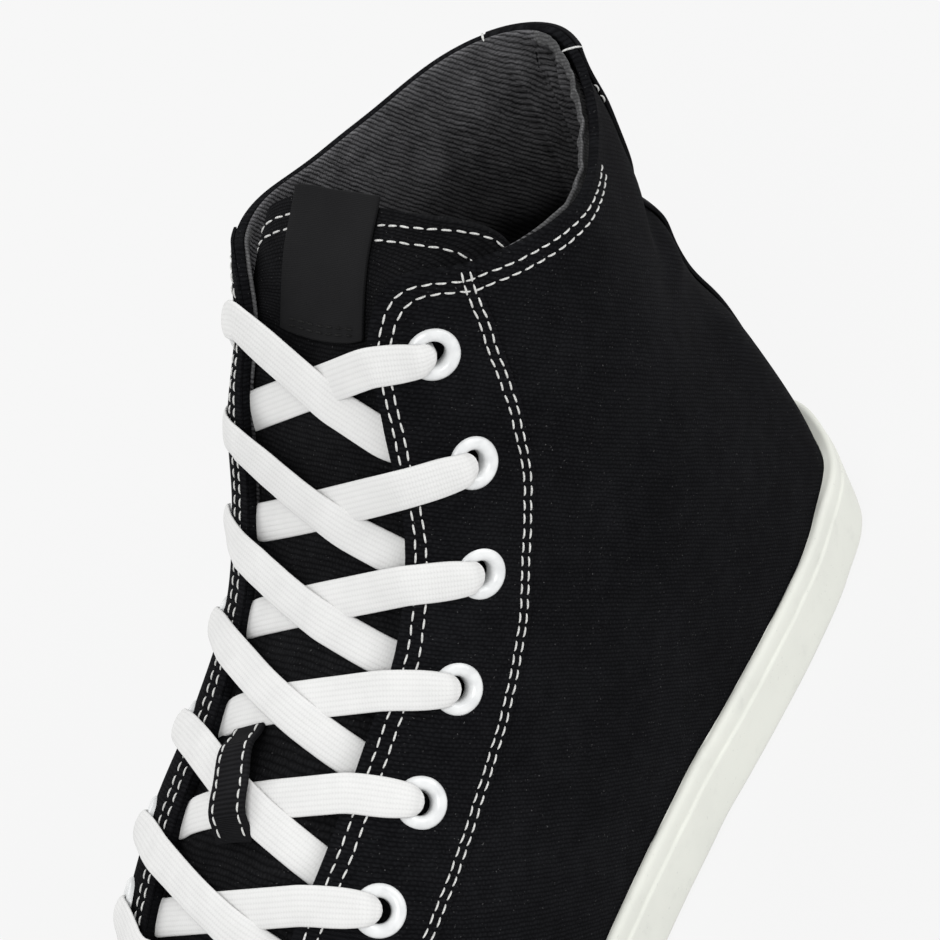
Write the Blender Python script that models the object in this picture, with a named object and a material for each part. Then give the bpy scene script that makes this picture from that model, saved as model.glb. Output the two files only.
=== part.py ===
"""A left high top canvas sneaker with a rubber sidewall, standing empty on its sole.

Run it with: blender --background --python part.py

Every size below is in millimetres and is turned into metres when a mesh is made.
The shoe is drawn in shoemaker's coordinates: "a" runs forward from the back of the
heel, "b" runs outward to the lateral side (the wearer's left), and "z" runs up.
In the scene the toe points along -X and the lateral side along -Y. The origin is on
the floor, in the middle of the shoe's length and width.
"""

import math
from collections import namedtuple

import bmesh
import bpy
import numpy as np

MM = 0.001
GAP = 0.3

# The upper
WALL = 2.0
STATIONS_PER_SECTION = 2
LEVELS = 8
FOOT_LIFT = 0.6

# The sole
RECESS_INSET = 5.0
RECESS_DEPTH = 4.3
SIDEWALL_LIFT = 0.5
BAND_HEIGHT = 5.0
BAND_STEP = 0.6
INSOLE_THICKNESS = 3.5
GROOVE_WIDTH = 2.4
GROOVE_DEPTH = 1.6
GROOVE_SPACING = 11.0
GROOVED = [(16, 74), (146, 268)]

# The eyelets and the lace
EYELET_RADIUS = 5.1
EYELET_HOLE_RADIUS = 2.5
BARREL_RADIUS = 3.1
FLANGE_THICKNESS = 0.8
LACE_WIDTH = 7.6
LACE_THICKNESS = 1.1
LACE_TUCK = 3.5
LACE_STEPS = 2
EYELET_SEGMENTS = 10

# The tongue and what is sewn to it
TONGUE_THICKNESS = 2.4
LABEL_WIDTH = 21.0
LABEL_THICKNESS = 1.0
KEEPER_WIDTH = 9.0
KEEPER_THICKNESS = 1.0

# The strip down the back of the heel
BACKSTAY_HALF_WIDTH = 12.0
BACKSTAY_THICKNESS = 0.9

Section = namedtuple(
    "Section",
    "name sole_a lateral medial top_a top_lateral top_medial top_z"
    " low_out low_up high_out high_down medial_out medial_down",
)

# One row for each section of the last, from the toe round to the back of the heel.
# sole_a, lateral, medial: the sole's outline. top: where the section's wall ends, on the
# ridge of the vamp, the throat edge or the collar. low, high: how far the wall leaves
# its foot outward and upward, and reaches its top from outside and below. The medial
# facing lies flatter than the lateral one, so its high pair stands in its own columns.
SECTIONS = [
    Section("toe_tip", 290, -7, 7, 259, -4, 4, 50, 1.5, 23, 20, 2.5, 20, 2.5),
    Section("toe_round", 283, 13, 26, 254, -3.5, 3.5, 51.5, 2, 23, 23, 2.5, 23, 2.5),
    Section("toe_side", 265, 31, 39.5, 244, -2.5, 2.5, 54, 3, 24, 25, 2.5, 25, 2.5),
    Section("forefoot", 238, 45, 47.5, 229, -1, 1, 58.5, 3, 26, 29, 3, 29, 3),
    Section("ball", 212, 50.3, 48.5, 212, 0, 0, 65, 3, 29, 33, 4, 33, 4),
    Section("throat_end", 199, 50.9, 46, 208.5, 0, 0, 66.5, 3, 31, 35, 4.5, 34, 4),
    Section("throat_round", 190, 50.8, 43.2, 206, 9.5, 9.5, 67, 3, 33, 27.5, 5.5, 26, 3.5),
    Section("vamp", 182, 50.3, 40.8, 198, 15.5, 15.5, 70.5, 3, 36, 25, 7.5, 25, 3.5),
    Section("low_instep", 166, 48.1, 36.4, 178, 18.8, 18.8, 79.3, 3, 38, 23.5, 10, 26, 2.5),
    Section("instep", 144, 44.6, 33.2, 152, 19, 19, 89.5, 3, 39.5, 20, 12.5, 25, 3),
    Section("high_instep", 123, 42.4, 32.2, 131, 19.8, 20.4, 101, 3, 40, 16.5, 15, 23, 5),
    Section("ankle_bend", 108, 41.2, 32.2, 117, 19.3, 21.4, 116.2, 3, 41, 15.5, 16.5, 22, 7),
    Section("shaft_front", 97, 40.2, 32.8, 107.4, 16.8, 19.8, 134, 3, 42, 18, 17.5, 22, 9),
    Section("throat_top", 88, 40, 33.6, 98.5, 14.5, 17.2, 148.5, 3, 42, 21, 19, 22, 15),
    Section("collar_corner", 81, 39.8, 34.5, 92, 18.5, 19.8, 156.5, 3, 42, 17, 23, 17, 22),
    Section("collar_front", 71, 39.5, 35.5, 82, 30, 29.2, 153.5, 3, 42, 8, 30, 8, 30),
    Section("collar_side", 50, 38.3, 37, 58, 38, 37, 147, 3.5, 38, -4, 42, -4, 42),
    Section("collar_rear", 30, 35.6, 35.3, 36, 28, 30.2, 143.6, 4.5, 35, -5, 46, -5, 46),
    Section("heel_side", 11, 29.2, 29, 20, 16.2, 16.2, 146.4, 5.5, 35, -6, 46, -6, 46),
    Section("heel_round", 1.4, 17.3, 17.3, 13.5, 8.2, 8.2, 147.8, 6, 35, -7, 46, -7, 46),
    Section("heel_back", -1.5, 0, 0, 11.3, 0, 0, 148, 6, 35, -7, 46, -7, 46),
]
NAMES = [section.name for section in SECTIONS]
THROAT_END = NAMES.index("throat_end")

Eyelet = namedtuple("Eyelet", "row from_edge lace_out lace_in")

# Each pair of eyelets, from the top down: the section row that it stands on, how far
# down that section it lies from the top edge, and the rows where its lace leaves over
# its own edge and goes in under the opposite one. The last pair's lace is a straight bar.
EYELETS = [
    Eyelet(13.57, 14.6, 12.55, 11.80),
    Eyelet(12.50, 25.8, 11.30, 10.67),
    Eyelet(11.12, 19.8, 10.35, 9.77),
    Eyelet(9.86, 14.4, 9.45, 8.92),
    Eyelet(8.86, 13.9, 8.70, 8.15),
    Eyelet(8.04, 13.5, 7.82, 7.30),
    Eyelet(7.25, 13.5, 6.90, 6.90),
]
KEEPER_PAIR = 4

TongueRow = namedtuple(
    "TongueRow",
    "row near_edge far_edge lift clear mid_a mid_z shoulder_a shoulder_b shoulder_z",
)

# The tongue from inside the vamp up to its free end. Its sides lie against the inside
# of the upper on a section row, from near_edge to far_edge below the wall's top, with
# the near point raised by lift and both held clear of the wall's inside. The middle and
# the shoulder stand between the facings.
TONGUE = [
    TongueRow(3.3, 9, 22, 0, 0.8, 222.0, 58.0, 222.0, 4, 57.9),
    TongueRow(4.6, 8, 20, 0, 1.5, 211.0, 60.6, 210.6, 5, 60.4),
    TongueRow(6.6, 4, 18, 0, 1.3, 197.0, 69.4, 197.0, 6, 69.0),
    TongueRow(8.0, 3, 17, 0, 1.3, 179.2, 82.0, 179.2, 9, 80.9),
    TongueRow(9.0, 3, 17, 0, 1.3, 153.2, 92.6, 153.0, 9, 91.3),
    TongueRow(10.0, 3, 17, 0, 1.3, 132.6, 103.6, 132.2, 9, 102.2),
    TongueRow(11.0, 3, 17, 0, 1.3, 118.2, 117.2, 117.6, 9, 116.0),
    TongueRow(12.0, 3, 18, 0, 1.3, 107.6, 133.4, 106.8, 8, 132.8),
    TongueRow(13.0, 3, 19, 0, 1.6, 98.0, 143.6, 97.4, 7, 143.6),
    TongueRow(14.0, 4, 22, 0, 2.2, 87.6, 153.6, 88.4, 10, 154.0),
]
# Its top edge, from the medial side to the lateral one. It leans to the lateral side and
# runs down inside the collar there.
TONGUE_TOP = [
    (82.5, -22.5, 147.0),
    (80.0, -18.0, 159.5),
    (78.4, -12.0, 161.8),
    (77.5, 0.0, 161.3),
    (78.0, 21.0, 160.8),
    (72.0, 30.8, 151.5),
    (72.0, 33.5, 139.0),
]


class Track:
    """Rows of numbers joined smoothly over rising knots, round a closed loop.

    At a corner row the track keeps its direction on each side and turns sharply.
    """

    def __init__(self, knots, rows, period, corners=()):
        self.knots = np.append(knots, period)
        self.rows = np.vstack([rows, rows[:1]]).astype(float)
        self.period = period
        step = np.diff(self.knots)
        slope = np.diff(self.rows, axis=0) / step[:, None]
        before, after = np.roll(step, 1)[:, None], step[:, None]
        middle = (after * np.roll(slope, 1, axis=0) + before * slope) / (before + after)
        leaving, arriving = middle.copy(), middle.copy()
        for row in corners:
            arriving[row] = slope[row - 1]
            leaving[row] = slope[row]
        self.leaving = leaving
        self.arriving = np.vstack([arriving[1:], arriving[:1]])

    def __call__(self, t):
        t = np.asarray(t, float) % self.period
        i = np.clip(np.searchsorted(self.knots, t, "right") - 1, 0, len(self.knots) - 2)
        step = self.knots[i + 1] - self.knots[i]
        s = ((t - self.knots[i]) / step)[..., None]
        step = step[..., None]
        start, end = self.rows[i], self.rows[i + 1]
        return (
            (2 * s**3 - 3 * s**2 + 1) * start
            + (s**3 - 2 * s**2 + s) * step * self.leaving[i]
            + (3 * s**2 - 2 * s**3) * end
            + (s**3 - s**2) * step * self.arriving[i]
        )


def through(points, steps):
    """A smooth open curve through the points, with a number of steps to each gap."""
    points = np.asarray(points, float)
    shape = points.shape
    flat = points.reshape(len(points), -1)
    gap = np.linalg.norm(np.diff(flat, axis=0), axis=1)
    slope = np.diff(flat, axis=0) / gap[:, None]
    before, after = gap[:-1, None], gap[1:, None]
    inner = (after * slope[:-1] + before * slope[1:]) / (before + after)
    slopes = np.vstack([slope[:1], inner, slope[-1:]])
    rows = []
    for i, length in enumerate(gap):
        for s in np.arange(steps) / steps:
            rows.append(
                (2 * s**3 - 3 * s**2 + 1) * flat[i]
                + (s**3 - 2 * s**2 + s) * length * slopes[i]
                + (3 * s**2 - 2 * s**3) * flat[i + 1]
                + (s**3 - s**2) * length * slopes[i + 1]
            )
    rows.append(flat[-1])
    return np.array(rows).reshape(-1, *shape[1:])


def eased(a, table):
    """The height for each a, eased between the rows (a, height) of a table."""
    at, height = np.array(table, float).T
    i = np.clip(np.searchsorted(at, a, "right") - 1, 0, len(at) - 2)
    s = np.clip((a - at[i]) / (at[i + 1] - at[i]), 0, 1)
    return height[i] + (height[i + 1] - height[i]) * s * s * (3 - 2 * s)


# (a, height) rows. The sole lies flat at the heel and the ball, lifts a little at the
# waist, and springs up at the toe.
GROUND = [(0, 0), (78, 0), (113, 0.5), (148, 0), (216, 0), (254, 3.6), (290, 9.5)]
SOLE_PLATE = [(0, 11), (70, 11), (170, 8), (290, 7)]
SIDEWALL_HEIGHT = [(0, 25.5), (12, 23), (45, 21), (90, 20.2), (200, 20.4), (290, 22)]
SIDEWALL_THICKNESS = [(0, 4.9), (14, 4.3), (45, 3.2), (240, 3.2), (290, 3.8)]


def ground(a):
    return eased(a, GROUND)


def plate_top(a):
    return ground(a) + eased(a, SOLE_PLATE)


def rim(a):
    return ground(a) + eased(a, SIDEWALL_HEIGHT)


def unit(v):
    v = np.asarray(v, float)
    return v / np.linalg.norm(v, axis=-1, keepdims=True)


class Last:
    """The outer surface of the upper, and the outline of the sole under it."""

    def __init__(self):
        def loop(lateral_row, medial_row):
            lateral = [lateral_row(s) for s in SECTIONS]
            medial = [medial_row(s) for s in SECTIONS]
            return np.array(lateral + medial[-2:0:-1], float)

        sole = loop(lambda s: (s.sole_a, s.lateral), lambda s: (s.sole_a, -s.medial))
        top = loop(
            lambda s: (s.top_a, s.top_lateral, s.top_z),
            lambda s: (s.top_a, -s.top_medial, s.top_z),
        )
        lean = loop(
            lambda s: (s.low_out, s.low_up, s.high_out, s.high_down),
            lambda s: (s.low_out, s.low_up, s.medial_out, s.medial_down),
        )
        ends = np.hstack([sole, top])
        gaps = np.linalg.norm(np.diff(np.vstack([ends, ends[:1]]), axis=0), axis=1)
        gaps = (gaps + gaps[::-1]) / 2
        knots = np.concatenate([[0], np.cumsum(gaps)])
        self.period = knots[-1]
        self.knots = knots[:-1]
        corners = (THROAT_END, len(self.knots) - THROAT_END)
        self.sole = Track(self.knots, sole, self.period)
        self.top = Track(self.knots, top, self.period, corners)
        self.lean = Track(self.knots, lean, self.period)

    def station(self, row, side=1):
        """The knot of a row number, which may have a fraction, on the side +1 or -1."""
        knot = np.interp(row, range(len(SECTIONS)), self.knots[: len(SECTIONS)])
        return knot if side > 0 else self.period - knot

    def outward(self, t):
        """The sole outline's outward direction in plan."""
        run = self.sole(np.asarray(t) + 0.5) - self.sole(np.asarray(t) - 0.5)
        return unit(np.stack([run[..., 1], -run[..., 0]], -1))

    def outline(self, t, inset=0.0):
        """The sole's outline in plan, moved inward."""
        return self.sole(t) - self.outward(t) * np.asarray(inset)[..., None]

    def point(self, t, v):
        """The upper's outer surface: t runs round the shoe, v from foot to top edge."""
        t, v = np.broadcast_arrays(np.asarray(t, float), np.asarray(v, float))
        wall = eased(self.sole(t)[..., 0], SIDEWALL_THICKNESS)
        foot = self.outline(t, wall)
        rest = plate_top(foot[..., 0]) + FOOT_LIFT
        foot = np.concatenate([foot, rest[..., None]], -1)
        top, lean, out = self.top(t), self.lean(t), self.outward(t)
        low = foot + np.concatenate([out * lean[..., 0:1], lean[..., 1:2]], -1)
        high = top + np.concatenate([out * lean[..., 2:3], -lean[..., 3:4]], -1)
        v = v[..., None]
        return (
            (1 - v) ** 3 * foot
            + 3 * (1 - v) ** 2 * v * low
            + 3 * (1 - v) * v**2 * high
            + v**3 * top
        )

    def normal(self, t, v, reach=0.4, share=0.01):
        """The surface's outward direction."""
        v = np.clip(v, share, 1 - share)
        along = self.point(t + reach, v) - self.point(t - reach, v)
        up = self.point(t, v + share) - self.point(t, v - share)
        return unit(np.cross(along, up))

    def off(self, t, v, distance):
        """A point off the surface, outward for a distance above 0."""
        return self.point(t, v) + self.normal(t, v) * np.asarray(distance)[..., None]

    def level_below_top(self, t, distance):
        """The v that lies a distance along the wall from its top edge."""
        v = np.linspace(1, 0, 200)
        wall = self.point(t, v)
        run = np.concatenate([[0], np.cumsum(np.linalg.norm(np.diff(wall, axis=0), axis=1))])
        return float(np.interp(distance, run, v))

    def level_at_height(self, t, height_of):
        """The v where the wall first reaches the height that height_of gives for its a."""
        v = np.linspace(0, 0.5, 200)
        wall = self.point(t, v)
        return float(v[np.argmax(wall[:, 2] >= height_of(wall[:, 0]))])


LAST = Last()
OUTLINE = LAST.outline(np.linspace(0, LAST.period, 2000), 0.0)
CENTRE_A = (OUTLINE[:, 0].min() + OUTLINE[:, 0].max()) / 2
CENTRE_B = (OUTLINE[:, 1].min() + OUTLINE[:, 1].max()) / 2


def placed(points):
    """Shoemaker's coordinates in millimetres as the scene's metres."""
    points = np.asarray(points, float)
    moved = [CENTRE_A - points[..., 0], CENTRE_B - points[..., 1], points[..., 2]]
    return np.stack(moved, -1) * MM


def finish_material(name, colour, roughness, metallic=0.0):
    material = bpy.data.materials.new(name)
    material.use_nodes = True
    shader = material.node_tree.nodes["Principled BSDF"]
    shader.inputs["Base Color"].default_value = (*colour, 1)
    shader.inputs["Roughness"].default_value = roughness
    shader.inputs["Metallic"].default_value = metallic
    return material


class Solid:
    """Points and faces in shoemaker's coordinates, gathered into one object."""

    def __init__(self, name):
        self.name = name
        self.points = []
        self.faces = []

    def add(self, points):
        """Adds points and returns their indices."""
        start = len(self.points)
        self.points += [tuple(p) for p in np.asarray(points, float).reshape(-1, 3)]
        return list(range(start, len(self.points)))

    def skin(self, rows, wrap_rows=False, wrap_along=False):
        """Quads over rows of point indices."""
        pairs = list(zip(rows, rows[1:]))
        if wrap_rows:
            pairs.append((rows[-1], rows[0]))
        for low, high in pairs:
            count = len(low)
            for i in range(count if wrap_along else count - 1):
                j = (i + 1) % count
                self.faces.append((low[i], low[j], high[j], high[i]))

    def make(self, material, closed=True, smooth=40):
        mesh = bpy.data.meshes.new(self.name)
        mesh.from_pydata([tuple(p) for p in placed(self.points)], [], self.faces)
        shape = bmesh.new()
        shape.from_mesh(mesh)
        bmesh.ops.remove_doubles(shape, verts=shape.verts, dist=0.00001)
        bmesh.ops.dissolve_degenerate(shape, edges=shape.edges, dist=0.000001)
        if closed:
            bmesh.ops.recalc_face_normals(shape, faces=shape.faces)
        shape.to_mesh(mesh)
        shape.free()
        mesh.materials.append(material)
        mesh.shade_smooth()
        mesh.set_sharp_from_angle(angle=math.radians(smooth))
        made = bpy.data.objects.new(self.name, mesh)
        bpy.context.scene.collection.objects.link(made)
        return made


def as_helper(made):
    """Hides an object that only cuts or joins another."""
    made.hide_render = True
    made.display_type = "WIRE"
    return made


def combine(made, other, operation):
    change = made.modifiers.new(operation.lower(), "BOOLEAN")
    change.operation = operation
    change.solver = "EXACT"
    change.object = other
    return made


def thicken(made, thickness, offset=-1):
    wall = made.modifiers.new("wall", "SOLIDIFY")
    wall.thickness = thickness * MM
    wall.offset = offset
    return wall


def stations(per_section=STATIONS_PER_SECTION):
    """Knots all round the loop, with the same number of steps in each section gap."""
    ends = np.append(LAST.knots, LAST.period)
    gaps = [np.linspace(a, b, per_section, endpoint=False) for a, b in zip(ends, ends[1:])]
    return np.concatenate(gaps)


def bridge(solid, ring, height_of):
    """Closes a ring of points from side to side, at the height that each a has."""
    points = np.array([solid.points[i] for i in ring])
    half = len(ring) // 2
    before = [ring[0]] * 3
    for i in range(1, half + 1):
        if i == half:
            row = [ring[half]] * 3
        else:
            middle = (points[i] + points[-i]) / 2
            middle[2] = height_of(middle[0])
            row = [ring[i], solid.add([middle])[0], ring[-i]]
        for j in range(2):
            face = [before[j], row[j], row[j + 1], before[j + 1]]
            solid.faces.append(tuple(dict.fromkeys(face)))
        before = row
    return solid


def ring_at(ts, inset, height_of):
    """The sole's outline moved inward, at the height that each a has."""
    plan = LAST.outline(ts, inset)
    return np.concatenate([plan, height_of(plan[:, 0])[:, None]], -1)


def make_upper(material):
    ts = stations()
    grid = LAST.point(ts[:, None], np.linspace(0, 1, LEVELS)[None, :])
    solid = Solid("upper")
    columns = [solid.add(column) for column in grid]
    rows = [list(row) for row in zip(*columns)]
    solid.skin(rows, wrap_along=True)
    upper = solid.make(material, closed=False, smooth=60)
    thicken(upper, WALL)
    holes = Solid("eyelet_holes")
    for index in range(len(EYELETS)):
        for side in (1, -1):
            add_turned(holes, eyelet_frame(index, side), [(0, -5), (3.4, -5), (3.4, 3), (0, 3)], EYELET_SEGMENTS)
    return combine(upper, as_helper(holes.make(material)), "DIFFERENCE")


def eyelet_frame(index, side):
    """An eyelet's centre on the outer surface, and the directions across it."""
    eyelet = EYELETS[index]
    t = LAST.station(eyelet.row, side)
    v = LAST.level_below_top(t, eyelet.from_edge)
    centre = LAST.point(t, v)
    out = LAST.normal(t, v)
    down = unit(LAST.point(t, v - 0.02) - LAST.point(t, v + 0.02))
    down = unit(down - out * (down @ out))
    return centre, out, down, np.cross(out, down)


def add_turned(solid, frame, profile, segments):
    """Turns a profile of (radius, height) round a frame's outward direction."""
    centre, out, down, across = frame
    rows = []
    for radius, height in profile:
        if radius == 0:
            rows.append(solid.add([centre + out * height]) * segments)
            continue
        angles = np.arange(segments) * 2 * math.pi / segments
        circle = np.cos(angles)[:, None] * down + np.sin(angles)[:, None] * across
        rows.append(solid.add(centre + out * height + circle * radius))
    closes = profile[0][0] != 0
    start = len(solid.faces)
    solid.skin(rows, wrap_rows=closes, wrap_along=True)
    fresh = [tuple(dict.fromkeys(face)) for face in solid.faces[start:]]
    solid.faces[start:] = [face for face in fresh if len(face) > 2]


def make_eyelets(material):
    low, top = GAP, GAP + FLANGE_THICKNESS
    profile = [
        (EYELET_RADIUS, low),
        (EYELET_RADIUS - 0.3, top - 0.2),
        (EYELET_HOLE_RADIUS + 0.3, top),
        (EYELET_HOLE_RADIUS, -WALL - 0.2),
        (BARREL_RADIUS, -WALL - 0.2),
        (BARREL_RADIUS, low),
    ]
    for index in range(len(EYELETS)):
        for side, word in ((1, "lateral"), (-1, "medial")):
            solid = Solid(f"eyelet_{word}_{index + 1}")
            add_turned(solid, eyelet_frame(index, side), profile, EYELET_SEGMENTS)
            solid.make(material)


def make_midsole(material):
    """The cup of the sole: its plate, its sidewall with a stepped band, and its recess."""
    ts = stations()
    solid = Solid("midsole")
    under = solid.add(ring_at(ts, 1.6, lambda a: ground(a) + SIDEWALL_LIFT))
    outer = [
        (0.5, lambda a: ground(a) + SIDEWALL_LIFT + 1.0),
        (0.0, lambda a: ground(a) + 6.0),
        (0.0, lambda a: rim(a) - BAND_HEIGHT - 0.3),
        (BAND_STEP, lambda a: rim(a) - BAND_HEIGHT + 0.2),
        (BAND_STEP, lambda a: rim(a) - 1.2),
        (BAND_STEP + 0.6, lambda a: rim(a) - 0.2),
    ]
    rows = [under] + [solid.add(ring_at(ts, inset, height)) for inset, height in outer]
    meets = np.array([LAST.level_at_height(t, rim) for t in ts])
    for share in (1, 0.5, 0):
        wall = LAST.off(ts, meets * share, np.full(len(ts), GAP))
        if share == 0:
            wall[:, 2] = plate_top(wall[:, 0])
        rows.append(solid.add(wall))
    solid.skin(rows, wrap_along=True)
    bridge(solid, rows[-1], plate_top)
    lip = solid.add(ring_at(ts, RECESS_INSET, lambda a: ground(a) + SIDEWALL_LIFT))
    ceiling = solid.add(ring_at(ts, RECESS_INSET, lambda a: ground(a) + RECESS_DEPTH))
    solid.skin([under, lip, ceiling], wrap_along=True)
    bridge(solid, ceiling, lambda a: ground(a) + RECESS_DEPTH)
    return solid.make(material)


def make_outsole(material):
    ts = stations()
    solid = Solid("outsole")
    inset = RECESS_INSET + GAP
    low = solid.add(ring_at(ts, inset + 0.5, ground))
    side = solid.add(ring_at(ts, inset, lambda a: ground(a) + 0.5))
    high = solid.add(ring_at(ts, inset, lambda a: ground(a) + RECESS_DEPTH - GAP))
    solid.skin([low, side, high], wrap_along=True)
    bridge(solid, low, ground)
    bridge(solid, high, lambda a: ground(a) + RECESS_DEPTH - GAP)
    outsole = solid.make(material, smooth=25)
    grooves = Solid("tread_grooves")
    for first, last in GROOVED:
        count = int((last - first) / GROOVE_SPACING) + 1
        for a in first + GROOVE_SPACING * np.arange(count):
            half, top = GROOVE_WIDTH / 2, float(ground(a)) + GROOVE_DEPTH
            loops = [
                [(a - half, b, -4), (a + half, b, -4), (a + half, b, top), (a - half, b, top)]
                for b in (-70, 70)
            ]
            near, far = [grooves.add(loop) for loop in loops]
            grooves.skin([near, far], wrap_along=True)
            grooves.faces += [tuple(near), tuple(far)]
    return combine(outsole, as_helper(grooves.make(material)), "DIFFERENCE")


def make_insole(material):
    ts = stations(1)
    solid = Solid("insole")
    wall = eased(LAST.sole(ts)[:, 0], SIDEWALL_THICKNESS) + WALL + 0.7
    rows = []
    heights = [(0, GAP), (0, INSOLE_THICKNESS - 0.6), (0.7, INSOLE_THICKNESS)]
    for inset, lift in heights:
        plan = LAST.outline(ts, wall + inset)
        rows.append(solid.add(np.c_[plan, plate_top(plan[:, 0]) + lift]))
    solid.skin(rows, wrap_along=True)
    bridge(solid, rows[0], lambda a: plate_top(a) + GAP)
    bridge(solid, rows[-1], lambda a: plate_top(a) + INSOLE_THICKNESS)
    return solid.make(material)


class Tongue:
    """The tongue's outer surface: u runs along it from the vamp up, w across it."""

    STEPS_ALONG = 2
    STEPS_ACROSS = 2

    def __init__(self):
        rows = []
        for r in TONGUE:
            medial, lateral = self.side(r, -1), self.side(r, 1)
            shoulder = np.array([r.shoulder_a, r.shoulder_b, r.shoulder_z])
            middle = np.array([r.mid_a, 0, r.mid_z])
            row = [*medial[::-1], shoulder * [1, -1, 1], middle, shoulder, *lateral]
            rows.append(through(row, self.STEPS_ACROSS))
        rows.append(through(TONGUE_TOP, self.STEPS_ACROSS))
        self.grid = through(rows, self.STEPS_ALONG)
        self.line = self.grid[:, self.grid.shape[1] // 2]
        steps = np.linalg.norm(np.diff(self.line, axis=0), axis=1)
        self.run = np.concatenate([[0], np.cumsum(steps)])

    def side(self, r, side):
        """The row's two points against the inside of the upper."""
        t = LAST.station(r.row, side)
        depth = -(WALL + r.clear)
        near = LAST.off(t, LAST.level_below_top(t, r.near_edge), depth)
        far = LAST.off(t, LAST.level_below_top(t, r.far_edge), depth)
        return near + [0, 0, r.lift], far

    def nearest(self, point):
        """How far along the mid line it comes nearest to a point."""
        fine = np.linspace(0, self.run[-1], 800)
        gaps = [np.linalg.norm(self.middle(run)[0] - point) for run in fine]
        return float(fine[int(np.argmin(gaps))])

    def middle(self, run):
        """The mid line's point at a distance along it, and the outward direction there."""
        point = np.array([np.interp(run, self.run, self.line[:, k]) for k in range(3)])
        i = int(np.clip(np.searchsorted(self.run, run), 1, len(self.run) - 1))
        along = unit(self.line[i] - self.line[i - 1])
        return point, np.array([along[2], 0, -along[0]])

    def sag(self, run, b):
        """How far the surface falls below the mid line at a breadth."""
        i = int(np.argmin(np.abs(self.run - run)))
        across, out = self.grid[i], self.middle(run)[1]
        heights = across @ out
        return np.interp(b, across[:, 1], heights) - np.interp(0, across[:, 1], heights)


def make_tongue(tongue, material):
    solid = Solid("tongue")
    rows = [solid.add(row) for row in tongue.grid]
    solid.skin(rows)
    made = solid.make(material, closed=False, smooth=60)
    thicken(made, TONGUE_THICKNESS)
    return made


def add_slab(solid, rows, thickness, outs):
    """A closed strip: rows of surface points, thickened along each row's direction."""
    upper = [solid.add(np.asarray(row) + np.asarray(out) * thickness) for row, out in zip(rows, outs)]
    lower = [solid.add(row) for row in rows]
    solid.skin(upper)
    solid.skin(lower)
    for end in (0, -1):
        solid.skin([[row[end] for row in upper], [row[end] for row in lower]])
    solid.skin([upper[0], lower[0]])
    solid.skin([upper[-1], lower[-1]])


def strip_on_tongue(name, tongue, runs, lifts, width, thickness, material):
    """A strip along the tongue's mid line, lifted off its surface at each distance."""
    rows, outs = [], []
    for run, lift in zip(runs, lifts):
        centre, out = tongue.middle(run)
        breadths = np.linspace(-width / 2, width / 2, 5)
        rows.append([centre + out * (lift + tongue.sag(run, b)) + [0, b, 0] for b in breadths])
        outs.append(out)
    solid = Solid(name)
    add_slab(solid, rows, thickness, outs)
    return solid.make(material, smooth=50)


def crossing_run(tongue, index):
    """How far along the tongue a pair's strands cross."""
    eyelet = EYELETS[index]
    t = LAST.station((eyelet.lace_out + eyelet.lace_in) / 2)
    return tongue.nearest(LAST.point(t, 1.0) * [1, 0, 1])


def lace_strand(tongue, index, side):
    """A strand from an eyelet over its own edge towards the opposite edge."""
    eyelet = EYELETS[index]
    centre, out, _, _ = eyelet_frame(index, side)
    lift = GAP + LACE_THICKNESS / 2
    start = centre + out * (lift + FLANGE_THICKNESS + 1.3)
    t = LAST.station(eyelet.lace_out, side)
    edge, edge_out = LAST.off(t, LAST.level_below_top(t, 1.5), lift + 0.9), LAST.normal(t, 1.0)
    between = (eyelet.row + eyelet.lace_out) / 2
    t = LAST.station(between, side)
    facing = LAST.level_below_top(t, eyelet.from_edge * 0.5)
    halfway, halfway_out = LAST.off(t, facing, lift + FLANGE_THICKNESS + 0.5), LAST.normal(t, facing)
    middle, middle_out = tongue.middle(crossing_run(tongue, index))
    middle = middle + middle_out * (lift + (1.5 if side < 0 else 1.2))
    t = LAST.station(eyelet.lace_in, -side)
    end, end_out = LAST.point(t, 1.0), LAST.normal(t, 1.0)
    end = end + unit(middle - end) * LACE_TUCK
    points = through([start, halfway, edge, middle, end], LACE_STEPS)
    outs = through([out, halfway_out, edge_out, middle_out, end_out], LACE_STEPS)
    return points, unit(outs)


def lace_solid(name, points, outs, material):
    solid = Solid(name)
    along = unit(np.gradient(points, axis=0))
    across = unit(np.cross(along, outs))
    outs = np.cross(across, along)
    half = LACE_WIDTH / 2
    rows = [[p - outs_ * LACE_THICKNESS / 2 + c * w for w in (-half, 0, half)]
            for p, outs_, c in zip(points, outs, across)]
    add_slab(solid, rows, LACE_THICKNESS, outs)
    return solid.make(material, smooth=50)


def make_laces(tongue, material):
    for index in range(len(EYELETS) - 1):
        over = lace_solid(f"lace_crossing_{index + 1}", *lace_strand(tongue, index, -1), material)
        under = lace_solid(f"lace_under_{index + 1}", *lace_strand(tongue, index, 1), material)
        combine(over, as_helper(under), "UNION")
    last = len(EYELETS) - 1
    points, outs = lace_strand(tongue, last, 1)
    other, other_outs = lace_strand(tongue, last, -1)
    half = 3 * LACE_STEPS + 1
    bar = np.vstack([points[:half], other[: half - 1][::-1]])
    bar_outs = np.vstack([outs[:half], other_outs[: half - 1][::-1]])
    lace_solid("lace_bar", bar, bar_outs, material)


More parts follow.
